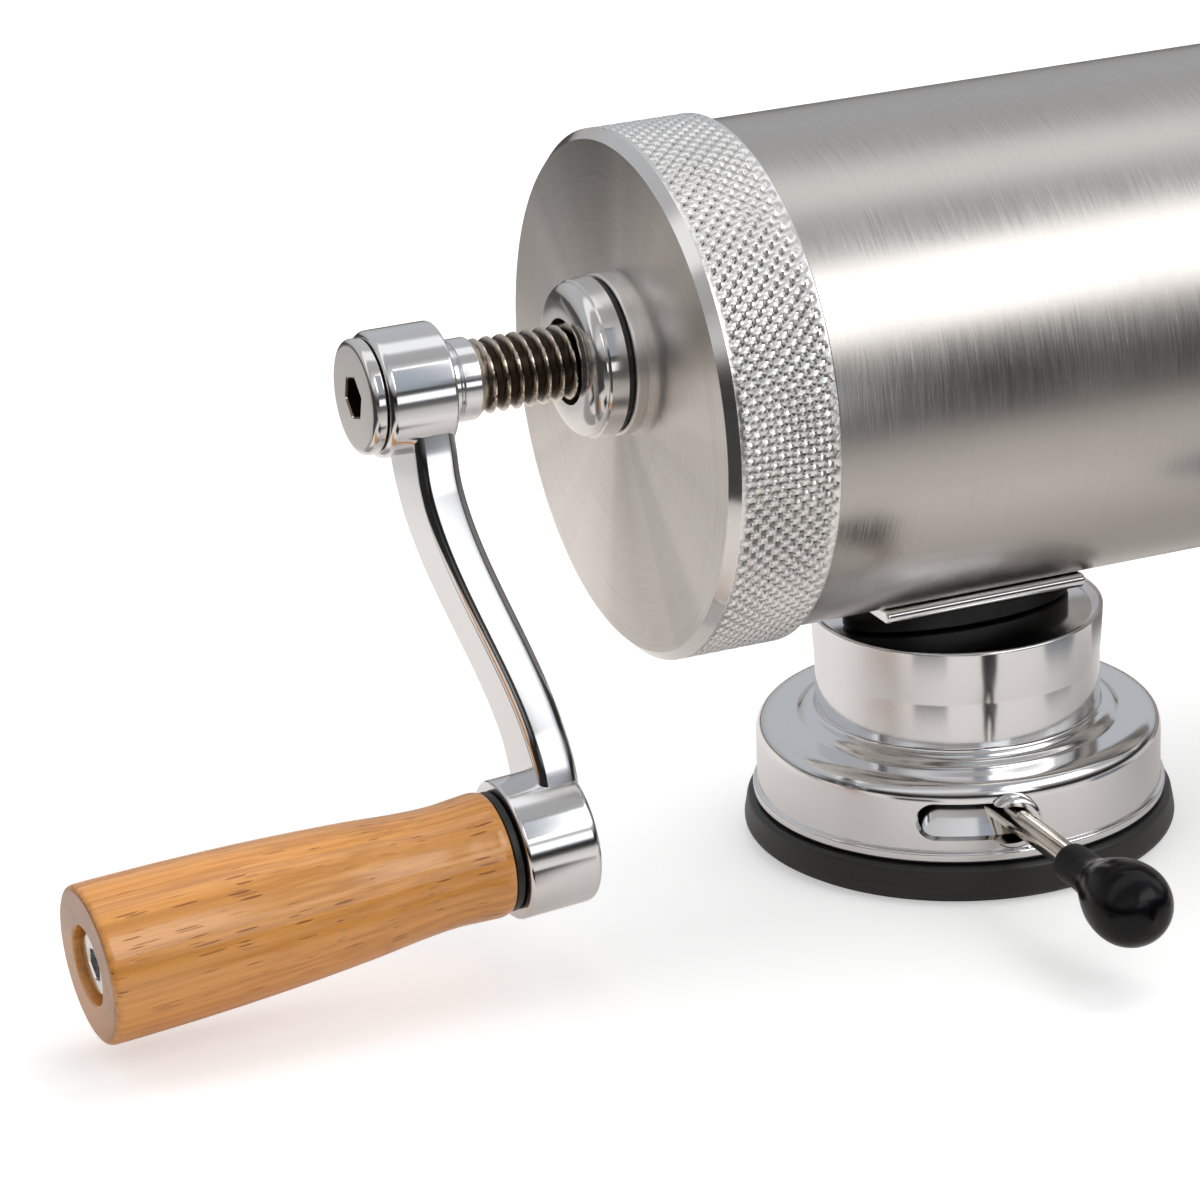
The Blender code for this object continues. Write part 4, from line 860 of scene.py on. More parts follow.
def sleeve(bore, radius, rear, front, rear_edge=GAP, front_edge=GAP):
    """Outline of a ring whose outer edges are rounded."""
    outer = ((rear, radius, rear_edge), (front, radius, front_edge))
    return rounded(((rear, bore, 0), *outer, (front, bore, 0)))


def hex_socket(mouth, floor, half_span):
    """Outline of a hexagon socket from its drilled floor to its mouth."""
    return [
        (floor + half_span / 3, 0),
        (floor, half_span * SOCKET_FLOOR_SHARE, 6),
        (mouth + GAP, half_span, 6),
        (mouth, half_span + GAP, 6),
    ]


def eased(points, steps):
    """Smooth curve through (u, v) points that are close together."""
    curve = []
    last = len(points) - 1
    for index in range(last):
        p0, p1, p2, p3 = (Vector(points[min(max(index + k, 0), last)]) for k in (-1, 0, 1, 2))
        for step in range(steps):
            t = step / steps
            curve.append(
                0.5 * (2 * p1 + (p2 - p0) * t + (2 * p0 - 5 * p1 + 4 * p2 - p3) * t ** 2
                       + (3 * p1 - p0 - 3 * p2 + p3) * t ** 3)
            )
    curve.append(Vector(points[-1]))
    return curve


def turned(outline, steps=ROUND_STEPS, closed=True, depth_at=None):
    """Vertices, faces and groove depths of an outline turned round X.

    An outline point is (along, radius) or (along, radius, sides), where radius is then half the
    span of a regular polygon. depth_at(along, radius, angle) gives how deep a groove is there.
    """
    verts = []
    depths = []
    rings = []
    for point in outline:
        along, radius = point[0], point[1]
        sides = point[2] if len(point) > 2 else 0
        first = len(verts)
        if radius < WELD:
            verts.append((along, 0, 0))
            depths.append(0)
            rings.append([first])
            continue
        for index in range(steps):
            angle = math.tau * index / steps
            reach = radius
            if sides:
                sector = math.tau / sides
                reach = radius / math.cos((angle + sector / 2) % sector - sector / 2)
            depth, share = depth_at(along, radius, angle) if depth_at else (0, 0)
            reach -= depth
            verts.append((along, reach * math.sin(angle), reach * math.cos(angle)))
            depths.append(share)
        rings.append(list(range(first, first + steps)))
    pairs = list(zip(rings, rings[1:]))
    if closed:
        pairs.append((rings[-1], rings[0]))
    faces = []
    for one, two in pairs:
        faces += strip(one, two)
    return verts, faces, depths


def strip(one, two):
    """Faces between two rings of vertices, either of which may be a single point."""
    count = max(len(one), len(two))
    faces = []
    for index in range(count):
        after = (index + 1) % count
        if len(one) == 1:
            faces.append((one[0], two[after], two[index]))
        elif len(two) == 1:
            faces.append((one[index], one[after], two[0]))
        else:
            faces.append((one[index], one[after], two[after], two[index]))
    return faces


def lofted(rings):
    """Vertices and faces of a closed solid through rings of points."""
    verts = [tuple(point) for ring in rings for point in ring]
    count = len(rings[0])
    faces = []
    for number in range(len(rings) - 1):
        one = list(range(number * count, (number + 1) * count))
        two = list(range((number + 1) * count, (number + 2) * count))
        faces += strip(one, two)
    faces.append(tuple(range(count)))
    faces.append(tuple(range(len(verts) - count, len(verts))))
    return verts, faces, None


def solid_mesh(name, shape):
    """Mesh of a shape, with its normals outward."""
    verts, faces, _ = shape
    mesh = bpy.data.meshes.new(name)
    mesh.from_pydata(verts, [], faces)
    builder = bmesh.new()
    builder.from_mesh(mesh)
    bmesh.ops.recalc_face_normals(builder, faces=builder.faces)
    builder.to_mesh(mesh)
    builder.free()
    return mesh


def add_object(name, data):
    """Object in the scene that shows a mesh, a light or a camera."""
    obj = bpy.data.objects.new(name, data)
    bpy.context.scene.collection.objects.link(obj)
    return obj


def smooth(mesh):
    """Smooth shading with sharp edges where faces meet steeply."""
    mesh.shade_smooth()
    mesh.set_sharp_from_angle(angle=SHARP_ANGLE)


def piece(name, shape, materials, axis, body, nodes=(), choose=None):
    """Finished piece: its mesh, materials, place, body and the nodes it stands for."""
    mesh = solid_mesh(name, shape)
    smooth(mesh)
    depths = shape[2]
    if depths and any(depths):
        mesh.attributes.new("groove", "FLOAT", "POINT").data.foreach_set("value", depths)
    for name_of_material in materials:
        mesh.materials.append(material(name_of_material))
    if choose:
        for polygon in mesh.polygons:
            polygon.material_index = choose(polygon)
    obj = add_object(name, mesh)
    obj.modifiers.new("Weighted normals", "WEIGHTED_NORMAL").keep_sharp = True
    obj.matrix_world = axis
    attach(obj, body)
    if nodes:
        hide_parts(*nodes)


def smoothstep(share):
    """Even S-shaped rise from 0 to 1."""
    share = min(max(share, 0), 1)
    return share * share * (3 - 2 * share)


def triangle_wave(value):
    """0 on whole numbers, 1 half-way between them."""
    return 1 - abs(2 * (value % 1) - 1)


def knurl(start, end, radius):
    """Depth of a diamond knurl between two places on a cylinder."""
    pitch = shapes().knurl_pitch
    deepest = shapes().knurl_depth
    around = round(math.tau * radius / pitch)
    run_out = pitch / 3

    def depth_at(along, ring_radius, angle):
        if abs(ring_radius - radius) > WELD or not start <= along <= end:
            return 0, 0
        turn = angle * around / math.tau
        travel = (along - start) / pitch
        total = 0
        for phase in (turn + travel, turn - travel):
            total += 1 - smoothstep(triangle_wave(phase) / KNURL_GROOVE_SHARE)
        fade = smoothstep((along - start) / run_out) * smoothstep((end - along) / run_out)
        return deepest * total * fade, total / 2 * fade

    return depth_at, around * KNURL_STEPS


def knurl_rows(start, end, radius):
    """Outline points across a knurled band, close enough together to hold it."""
    count = round((end - start) / shapes().knurl_pitch * KNURL_STEPS)
    return [(start + (end - start) * index / count, radius) for index in range(count + 1)]


# Pieces


def build_barrel():
    """Brushed tube with eased ends."""
    edge = BARREL_WALL / 4
    outline = sleeve(BARREL_RADIUS - BARREL_WALL, BARREL_RADIUS, BARREL_REAR, BARREL_FRONT, edge, edge)
    shape = turned(outline, LARGE_STEPS)
    piece("barrel_tube", shape, ["tube_steel"], BARREL_AXIS, "barrel_and_base", ["barrel"])


def build_rear_cap():
    """Knurled shell, flat face with its off-centre hole, and the boss round the bush."""
    face_radius = CAP_RADIUS - CAP_BEVEL
    skirt_bore = BARREL_RADIUS + GAP
    band_start = CAP_FACE + CAP_BEVEL + GAP
    band_end = CAP_RIM - 2 * GAP
    depth_at, steps = knurl(band_start, band_end, CAP_RADIUS)
    outline = [(CAP_FACE, face_radius), (CAP_FACE + CAP_BEVEL, CAP_RADIUS)]
    outline += knurl_rows(band_start, band_end, CAP_RADIUS)
    outline += [
        (CAP_RIM - GAP, CAP_RADIUS),
        (CAP_RIM, CAP_RADIUS - GAP),
        (CAP_RIM, skirt_bore),
        (CAP_INNER_FACE, skirt_bore),
        (CAP_INNER_FACE, face_radius),
    ]

    def band_or_bevel(polygon):
        return 1 if polygon.center.x < CAP_FACE + CAP_BEVEL else 0

    piece(
        "rear_cap_shell", turned(outline, steps, depth_at=depth_at), ["knurled_steel", "polished_steel"],
        BARREL_AXIS, "barrel_and_base", ["rear_cap"], band_or_bevel,
    )
    hole = BUSH_RADIUS + GAP
    rise = SCREW_HEIGHT - AXIS_HEIGHT
    verts, faces = [], []
    rings = []
    for along, shares in ((CAP_FACE, (0, 0.15, 0.4, 0.7, 1)), (CAP_INNER_FACE, (1, 0))):
        for share in shares:
            radius = hole + (face_radius - hole) * share
            rings.append(list(range(len(verts), len(verts) + LARGE_STEPS)))
            for index in range(LARGE_STEPS):
                angle = math.tau * index / LARGE_STEPS
                up = radius * math.cos(angle) + rise * (1 - share)
                verts.append((along, radius * math.sin(angle), up))
    for one, two in zip(rings, rings[1:] + rings[:1]):
        faces += strip(one, two)
    shape = (verts, faces, None)
    piece("rear_cap_face", shape, ["face_steel"], BARREL_AXIS, "barrel_and_base")
    shape = turned(sleeve(hole, BOSS_RADIUS, CAP_FACE, BOSS_FACE - GAP / 2, 0, 2 * GAP))
    piece("rear_cap_boss", shape, ["satin_steel"], FIXED_SCREW_AXIS, "barrel_and_base")


def build_gland():
    """Domed nut: a straight band, a crisp edge and a dome that curls in to the screw."""
    band_end = GLAND_REAR - GLAND_BAND
    dome = []
    steps = 4 * FILLET_STEPS
    reach = GLAND_RADIUS - 2 * GAP - GLAND_BORE
    height = band_end - GLAND_FACE - GAP
    for index in range(steps + 1):
        turn = math.pi / 2 * index / steps
        along = band_end - GAP - height * math.sin(turn) ** 0.9
        dome.append((along, GLAND_BORE + reach * math.cos(turn) ** 0.75))
    front = GLAND_REAR + GAP / 2
    outline = [(front, GLAND_BORE), (front, GLAND_RADIUS - GAP), (GLAND_REAR, GLAND_RADIUS)]
    outline += [(band_end, GLAND_RADIUS - GAP)] + dome
    piece(
        "gland_nut_domed", turned(outline), ["polished_steel"], FIXED_SCREW_AXIS, "barrel_and_base",
        ["gland_nut"],
    )


def build_lead_screw():
    """Threaded rod with its journal and square end."""
    pitch = shapes().thread_pitch
    deepest = shapes().thread_depth
    thread_start = SPACER_FRONT - GAP
    thread_end = PISTON_BOSS_END - GAP

    def depth_at(along, radius, angle):
        if abs(radius - SCREW_RADIUS) > WELD:
            return 0, 0
        phase = along / pitch + angle / math.tau
        share = smoothstep((1 - triangle_wave(phase) - THREAD_CREST_SHARE) / THREAD_FLANK_SHARE)
        fade = smoothstep((along - thread_start) / pitch) * smoothstep((thread_end - along) / pitch)
        return deepest * share * fade, share * fade

    rows = round((thread_end - thread_start) / pitch * THREAD_STEPS)
    outline = [(SCREW_REAR, 0), (SCREW_REAR, TANG_SIDE / 2, 4), (SPACER_FRONT - 2 * GAP, TANG_SIDE / 2, 4)]
    outline += [(SPACER_FRONT - 2 * GAP, SCREW_RADIUS - deepest)]
    for index in range(rows + 1):
        outline.append((thread_start + (thread_end - thread_start) * index / rows, SCREW_RADIUS))
    outline += [(thread_end, JOURNAL_RADIUS), (JOURNAL_END, JOURNAL_RADIUS), (JOURNAL_END, 0)]
    shape = turned(outline, SMALL_STEPS, closed=False, depth_at=depth_at)
    piece("lead_screw_threaded", shape, ["screw_metal"], SCREW_AXIS, "crank", ["lead_screw"])


def build_spacer():
    """Stepped collar between the crank's hub and the thread."""
    bore = TANG_SIDE / 2 + GAP
    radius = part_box("crank_spacer")[1].y
    groove = SPACER_REAR + (SPACER_FRONT - SPACER_REAR) * 0.30
    corners = (
        (SPACER_REAR, bore, 0),
        (SPACER_REAR, radius - GAP, GAP),
        (groove, radius - GAP, GAP),
        (groove + GAP, radius - 2 * GAP, 0),
        (groove + 2 * GAP, radius, GAP),
        (SPACER_FRONT, radius, 2 * GAP),
        (SPACER_FRONT, bore, 0),
    )
    shape = turned(rounded(corners))
    piece("crank_collar", shape, ["chrome"], SCREW_AXIS, "crank", ["crank_spacer"])


def arm_centre(share):
    """Middle of the arm's section at a share of the way from hub to hub."""
    upper = HUB_FRONT - ARM_HUB_INSET - ARM_THICKNESS / 2
    lower = PIN_X + LOWER_HUB_LENGTH / 2 - ARM_HUB_INSET - ARM_THICKNESS / 2
    bend = (share - ARM_BEND_START_SHARE) / (ARM_BEND_END_SHARE - ARM_BEND_START_SHARE)
    return Vector((upper + (lower - upper) * smoothstep(bend), 0, -CRANK_RADIUS * share))


def arm_section(share):
    """Section with rounded corners and slightly crowned sides, flared at the hubs."""
    centre = arm_centre(share)
    along = (arm_centre(share + SLOPE_SHARE) - arm_centre(share - SLOPE_SHARE)).normalized()
    across = Vector((0, 1, 0))
    inward = along.cross(across)
    from_upper = CRANK_RADIUS * share - UPPER_HUB_RADIUS
    from_lower = CRANK_RADIUS * (1 - share) - LOWER_HUB_RADIUS
    flare = 1 - smoothstep(min(from_upper, from_lower) / ARM_FLARE_LENGTH)
    half_width = (ARM_WIDTH + ARM_FLARE * flare) / 2 - ARM_CROWN
    half_thickness = ARM_THICKNESS / 2
    points = []
    for quarter, (side, face) in enumerate(((1, 1), (-1, 1), (-1, -1), (1, -1))):
        for index in range(FILLET_STEPS + 1):
            angle = math.pi / 2 * (quarter + index / FILLET_STEPS)
            wide = side * (half_width - ARM_CORNER) + ARM_CORNER * math.cos(angle)
            thick = face * (half_thickness - ARM_CORNER) + ARM_CORNER * math.sin(angle)
            crown = ARM_CROWN * (1 - (thick / half_thickness) ** 2)
            points.append(centre + across * (wide + side * crown) + inward * thick)
        if quarter in (1, 3):
            flat = half_thickness - ARM_CORNER
            for step in range(1, 4):
                thick = face * flat * (1 - step / 2)
                crown = ARM_CROWN * (1 - (thick / half_thickness) ** 2)
                points.append(centre + across * side * (half_width + crown) + inward * thick)
    return points


def build_crank():
    """S-bent arm between its two hubs."""
    first = UPPER_HUB_RADIUS * ARM_ROOT_SHARE / CRANK_RADIUS
    last = 1 - LOWER_HUB_RADIUS * ARM_ROOT_SHARE / CRANK_RADIUS
    rings = []
    for index in range(ARM_STATIONS + 1):
        rings.append(arm_section(first + (last - first) * index / ARM_STATIONS))
    piece("crank_arm_polished", lofted(rings), ["chrome"], SCREW_AXIS, "crank", ["crank_arm"])
    outline = sleeve(TANG_SIDE / 2 + GAP, UPPER_HUB_RADIUS, HUB_REAR, HUB_FRONT, HUB_ROUND, HUB_ROUND / 2)
    piece("crank_upper_hub", turned(outline), ["chrome"], SCREW_AXIS, "crank")
    half = LOWER_HUB_LENGTH / 2
    bore = SPINDLE_RADIUS + GAP
    corners = (
        (half - 2 * GAP, 0, 0),
        (half - 2 * GAP, bore, 0),
        (-half, bore, 0),
        (-half, LOWER_HUB_RADIUS, HUB_ROUND / 2),
        (half, LOWER_HUB_RADIUS, HUB_ROUND),
        (half, 0, 0),
    )
    shape = turned(rounded(corners, closed=False), closed=False)
    piece("crank_lower_hub", shape, ["chrome"], PIN_AXIS, "crank")


def build_end_screw():
    """Broad head with an eased rim and a deep hexagon socket."""
    head_front = END_SCREW_REAR + END_SCREW_HEAD
    socket = END_SOCKET_SPAN / 2
    floor = END_SCREW_REAR + END_SOCKET_DEPTH
    rim = rounded(
        (
            (END_SCREW_REAR, socket, 0),
            (END_SCREW_REAR, END_SCREW_RADIUS, END_SCREW_HEAD / 2),
            (head_front, END_SCREW_RADIUS, GAP),
            (head_front, socket + 2 * GAP, 0),
        ),
        closed=False,
    )
    stud = [(floor + socket / 2, socket + 2 * GAP), (floor + socket / 2, 0)]
    outline = hex_socket(END_SCREW_REAR, floor, socket) + rim[1:] + stud

    # painted shade: the socket's walls, a little past its span, take the dark socket steel
    def rim_or_socket(polygon):
        across = math.hypot(polygon.center.y, polygon.center.z)
        inside = polygon.center.x > END_SCREW_REAR + GAP / 2
        return 1 if across < socket * SOCKET_VIEW_SHARE and inside else 0

    piece(
        "crank_end_screw_socketed", turned(outline, closed=False), ["polished_steel", "socket_shade_steel"],
        SCREW_AXIS, "crank", ["crank_end_screw"], rim_or_socket,
    )


def build_grip():
    """Beech grip with its washers and the shoulder bolt's head."""
    bore = SPINDLE_RADIUS + GAP
    washer_front = -LOWER_HUB_LENGTH / 2 - GAP
    washer_rear = washer_front - GRIP_WASHER_THICKNESS
    shape = turned(sleeve(bore, GRIP_WASHER_RADIUS, washer_rear, washer_front))
    piece("grip_seal_washer", shape, ["rubber"], PIN_AXIS, "crank", ["grip_washer"])

    front = washer_rear - GAP
    rear = front - GRIP_LENGTH
    floor = rear + GRIP_COUNTERBORE_DEPTH
    profile = [(front - GRIP_LENGTH * share, GRIP_RADIUS * reach) for share, reach in GRIP_PROFILE_SHARES]
    tail = rounded(
        (
            (front - GRIP_LENGTH * GRIP_TAIL_SHARE, GRIP_RADIUS, 0),
            (rear, GRIP_RADIUS, GRIP_EDGE),
            (rear, GRIP_COUNTERBORE, 2 * GAP),
            (floor, GRIP_COUNTERBORE, 0),
            (floor, GRIP_BORE, 0),
        ),
        closed=False,
    )
    outline = [(front, GRIP_BORE)] + eased(profile, 6) + tail

    def side_or_end(polygon):
        return 1 if polygon.center.x < rear + GAP and abs(polygon.normal.x) > 0.9 else 0

    piece(
        "grip_beech", turned(outline, LARGE_STEPS), ["beech_side", "beech_end"], PIN_AXIS, "grip",
        ["grip"], side_or_end,
    )

    head_washer_rear = floor - GAP - HEAD_WASHER_THICKNESS
    shape = turned(sleeve(bore, HEAD_WASHER_RADIUS, head_washer_rear, floor - GAP), SMALL_STEPS)
    piece("bolt_washer", shape, ["polished_steel"], PIN_AXIS, "crank", ["spindle_washer"])
    head_front = head_washer_rear - GAP
    head_rear = head_front - SPINDLE_HEAD
    socket = SPINDLE_SOCKET_SPAN / 2
    head = rounded(
        (
            (head_rear, socket + GAP, 0),
            (head_rear, SPINDLE_HEAD_RADIUS, 3 * GAP),
            (head_front, SPINDLE_HEAD_RADIUS, 0),
            (head_front, SPINDLE_RADIUS, 0),
            (washer_front, SPINDLE_RADIUS, 0),
            (washer_front, 0, 0),
        ),
        closed=False,
    )
    outline = hex_socket(head_rear, head_rear + SPINDLE_SOCKET_DEPTH, socket) + head[1:]
    shape = turned(outline, SMALL_STEPS, closed=False)
    piece("grip_bolt", shape, ["polished_steel"], PIN_AXIS, "crank", ["grip_spindle"])


def build_front():
    """Knurled ring and the nozzle it holds."""
    lip_inner = RING_FRONT - RING_LIP
    band_start = RING_REAR + 2 * GAP
    band_end = RING_FRONT - CAP_BEVEL - GAP
    depth_at, steps = knurl(band_start, band_end, CAP_RADIUS)
    outline = [
        (lip_inner, BARREL_RADIUS - RING_LIP_WIDTH),
        (lip_inner, BARREL_RADIUS + GAP),
        (RING_REAR, BARREL_RADIUS + GAP),
        (RING_REAR, CAP_RADIUS - GAP),
        (RING_REAR + GAP, CAP_RADIUS),
    ]
    outline += knurl_rows(band_start, band_end, CAP_RADIUS)
    outline += [
        (RING_FRONT - CAP_BEVEL, CAP_RADIUS),
        (RING_FRONT, CAP_RADIUS - CAP_BEVEL),
        (RING_FRONT, BARREL_RADIUS - RING_LIP_WIDTH + GAP),
        (RING_FRONT - GAP, BARREL_RADIUS - RING_LIP_WIDTH),
    ]

    def band_or_bevel(polygon):
        return 1 if polygon.center.x > RING_FRONT - CAP_BEVEL else 0

    piece(
        "front_ring_knurled", turned(outline, steps, depth_at=depth_at), ["knurled_steel", "face_steel"],
        BARREL_AXIS, "front_ring", ["front_ring"], band_or_bevel,
    )
    shoulder = NOZZLE_REAR + NOZZLE_FLANGE
    cone_end = shoulder + NOZZLE_CONE_LENGTH
    fillet = 4 * NOZZLE_WALL
    corners = (
        (NOZZLE_REAR, BARREL_RADIUS, 0),
        (shoulder, BARREL_RADIUS, GAP),
        (shoulder, NOZZLE_CONE_RADIUS, NOZZLE_WALL),
        (cone_end, NOZZLE_ROOT_RADIUS, fillet),
        (NOZZLE_TIP, NOZZLE_TIP_RADIUS, GAP),
        (NOZZLE_TIP, NOZZLE_TIP_RADIUS - NOZZLE_WALL, GAP),
        (cone_end, NOZZLE_ROOT_RADIUS - NOZZLE_WALL, fillet),
        (NOZZLE_REAR, NOZZLE_CONE_RADIUS - NOZZLE_WALL, 0),
    )
    piece(
        "nozzle_polished", turned(rounded(corners)), ["polished_steel"], BARREL_AXIS, "nozzle",
        ["nozzle"],
    )


def build_pad():
    """Rubber pad with its rounded edge."""
    corners = (
        (0, 0, 0),
        (0, PAD_FOOT_RADIUS, PAD_EDGE),
        (PAD_WIDEST_HEIGHT / 2, PAD_RADIUS, PAD_WIDEST_HEIGHT),
        (PAD_HEIGHT - LIP_DROP, PAD_TOP_RADIUS, PAD_EDGE),
        (PAD_HEIGHT - LIP_DROP, FLANGE_RADIUS - PAD_RIM_WIDTH, 0),
        (PAD_FLOOR, FLANGE_RADIUS - PAD_RIM_WIDTH, 0),
        (PAD_FLOOR, PAD_BOSS_RADIUS, 0),
        (PAD_BOSS_HEIGHT, PAD_BOSS_RADIUS, 0),
        (PAD_BOSS_HEIGHT, STEM_HEAD_RADIUS, 0),
        (PAD_FLOOR, STEM_HEAD_RADIUS, 0),
        (PAD_FLOOR, 0, 0),
    )
    shape = turned(rounded(corners, closed=False), LARGE_STEPS, closed=False)
    piece("pad_rubber", shape, ["rubber"], UPRIGHT_AXIS, "barrel_and_base", ["suction_pad"])


def housing_outline():
    """Outline of the spun shell as (height, radius), from the dish round to the ceiling."""
    lip_bottom = HOUSING_BOTTOM - LIP_DROP
    shoulder = FLANGE_TOP - HOUSING_WALL
    bore = PEDESTAL_RADIUS - HOUSING_WALL
    ceiling = DISH_HEIGHT - TOP_PLATE
    corners = (
        (DISH_HEIGHT, 0, 0),
        (DISH_HEIGHT, PEDESTAL_TOP_RADIUS - RIM_WIDTH, GAP),
        (PEDESTAL_TOP, PEDESTAL_TOP_RADIUS - RIM_WIDTH / 2, 2 * GAP),
        (PEDESTAL_TOP, PEDESTAL_TOP_RADIUS, DISH_DEPTH),
        (PEDESTAL_TOP - 5 * RIM_WIDTH, PEDESTAL_RADIUS, 4 * RIM_WIDTH),
        (FOOT_HEIGHT, PEDESTAL_RADIUS, FOOT_FILLET),
        (FOOT_HEIGHT, FOOT_RADIUS, FOOT_FILLET),
        (FLANGE_TOP, FOOT_RADIUS + FOOT_FILLET / 2, 4 * GAP),
        (FLANGE_TOP, FLANGE_RADIUS, FLANGE_ROUND),
        (lip_bottom + LIP_HEIGHT + GAP, FLANGE_RADIUS, GAP),
        (lip_bottom + LIP_HEIGHT, LIP_RADIUS, 2 * GAP),
        (lip_bottom, LIP_RADIUS, LIP_HEIGHT / 2),
        (lip_bottom, HOUSING_BORE, 0),
        (shoulder, HOUSING_BORE, 0),
        (shoulder, bore, 0),
        (ceiling, bore, 0),
        (ceiling, 0, 0),
    )
    return rounded(corners, closed=False)


def slot_solid():
    """Curved oblong that follows the lever round its swing, through the wall."""
    inner = HOUSING_BORE - HOUSING_WALL
    outer = FLANGE_RADIUS + 2 * LEVER_BOSS_REACH
    end_radius = SLOT_HEIGHT / 2
    half_turn = ROUND_STEPS // 4
    rings = []
    for radius in (inner, outer):
        ring = []
        for end, sense in ((SLOT_START, 1), (SLOT_END, -1)):
            for index in range(half_turn + 1):
                around = math.pi * index / half_turn - math.pi / 2
                rise = sense * end_radius * math.sin(around)
                angle = end + sense * (end_radius * math.cos(around) - end_radius) / FLANGE_RADIUS
                ring.append((radius * math.cos(angle), radius * math.sin(angle), LEVER_HEIGHT + rise))
        rings.append(ring)
    return rings


def helper(name, shape, place=UNMOVED):
    """Unfinished object for a cut or a join."""
    mesh = solid_mesh(name, shape)
    mesh.transform(place)
    return add_object(name, mesh)


def outline_normals(outline):
    """Normal of each outline point, weighted by the lengths of its two sides."""
    normals = []
    for index, point in enumerate(outline):
        total = Vector((0, 0))
        for other, sense in ((index - 1, 1), (index + 1, -1)):
            if 0 <= other < len(outline):
                side = (Vector(point) - Vector(outline[other])) * sense
                total += Vector((side.y, -side.x))
        normals.append(total.normalized())
    return normals


def turned_normal(point, outline, normals):
    """Normal of the turned surface next to a point."""
    radius = math.hypot(point.x, point.y)
    place = Vector((point.z, radius))
    best = None
    for index in range(len(outline) - 1):
        start = Vector(outline[index])
        side = Vector(outline[index + 1]) - start
        share = min(max((place - start).dot(side) / max(side.length_squared, 1e-18), 0), 1)
        distance = (start + side * share - place).length
        if best is None or distance < best[0]:
            best = (distance, normals[index].lerp(normals[index + 1], share))
    height, outward = best[1]
    if radius > WELD:
        return Vector((point.x / radius * outward, point.y / radius * outward, height)).normalized()
    return Vector((0, 0, height)).normalized()


def housing_mesh(outline):
    """Spun shell joined with the raised boss at the lever's resting place and cut by the slot."""
    shell = helper("housing_shell", turned(outline, LARGE_STEPS, closed=False), UPRIGHT_AXIS)
    root = HOUSING_BORE + HOUSING_WALL / 4
    face = FLANGE_RADIUS + LEVER_BOSS_REACH
    corners = (
        (root, 0, 0),
        (root, LEVER_BOSS_RADIUS, 0),
        (face, LEVER_BOSS_RADIUS, LEVER_BOSS_EDGE),
        (face, 0, 0),
    )
    turn = LEVER_AXIS @ Matrix.Rotation(SLOT_REST_ANGLE, 4, "Z")
    boss = helper("housing_boss", turned(rounded(corners, closed=False), closed=False), turn)
    slot = helper("housing_slot", lofted(slot_solid()))
    for other, operation in ((boss, "UNION"), (slot, "DIFFERENCE")):
        modifier = shell.modifiers.new(operation.title(), "BOOLEAN")
        modifier.operation = operation
        modifier.solver = "EXACT"
        modifier.object = other
    graph = bpy.context.evaluated_depsgraph_get()
    mesh = bpy.data.meshes.new_from_object(shell.evaluated_get(graph))
    for obj in (shell, boss, slot):
        bpy.data.objects.remove(obj, do_unlink=True)
    return mesh


def build_housing():
    """Spun chromed shell, shaded by its outline's own normals wherever the spun surface is left."""
    outline = housing_outline()
    mesh = housing_mesh(outline)
    mesh.name = "base_shell"
    smooth(mesh)
    normals = outline_normals(outline)
    corner_normals = [Vector(corner.vector) for corner in mesh.corner_normals]
    known = {}
    for polygon in mesh.polygons:
        if turned_normal(polygon.center, outline, normals).dot(polygon.normal) < SPUN_FACE_LIKENESS:
            continue
        for loop in polygon.loop_indices:
            vertex = mesh.loops[loop].vertex_index
            if vertex not in known:
                known[vertex] = turned_normal(mesh.vertices[vertex].co, outline, normals)
            if known[vertex].dot(polygon.normal) > SPUN_CORNER_LIKENESS:
                corner_normals[loop] = known[vertex]
    mesh.normals_split_custom_set(corner_normals)
    mesh.materials.clear()
    mesh.materials.append(material("chrome"))
    for polygon in mesh.polygons:
        polygon.material_index = 0
    obj = add_object("base_shell", mesh)
    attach(obj, "barrel_and_base")
    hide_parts("base_housing")


def cradle_rings():
    """Sections of the curved plate, with round long edges and eased ends."""
    middle_radius = BARREL_RADIUS + GAP + SADDLE_THICKNESS / 2
    half = SADDLE_THICKNESS / 2
    steps = 2 * FILLET_STEPS
    section = []
    for sense in (1, -1):
        for index in range(steps + 1):
            around = math.pi * (index / steps - 0.5)
            turn = sense * (SADDLE_HALF_ANGLE + half * (math.cos(around) - 1) / middle_radius)
            section.append((turn, sense * half * math.sin(around)))
    edge = 2 * GAP
    ends = [(SADDLE_REAR, edge), (SADDLE_REAR + edge / 3, edge / 3), (SADDLE_REAR + edge, 0)]
    ends += [(SADDLE_FRONT - edge, 0), (SADDLE_FRONT - edge / 3, edge / 3), (SADDLE_FRONT, edge)]
    rings = []
    for along, inset in ends:
        width_share = 1 - inset / (middle_radius * math.sin(SADDLE_HALF_ANGLE))
        thickness_share = 1 - inset / half
        ring = []
        for turn, outward in section:
            radius = middle_radius + outward * thickness_share
            narrow = turn * width_share
            ring.append((along, radius * math.sin(narrow), AXIS_HEIGHT - radius * math.cos(narrow)))
        rings.append(ring)
    return rings


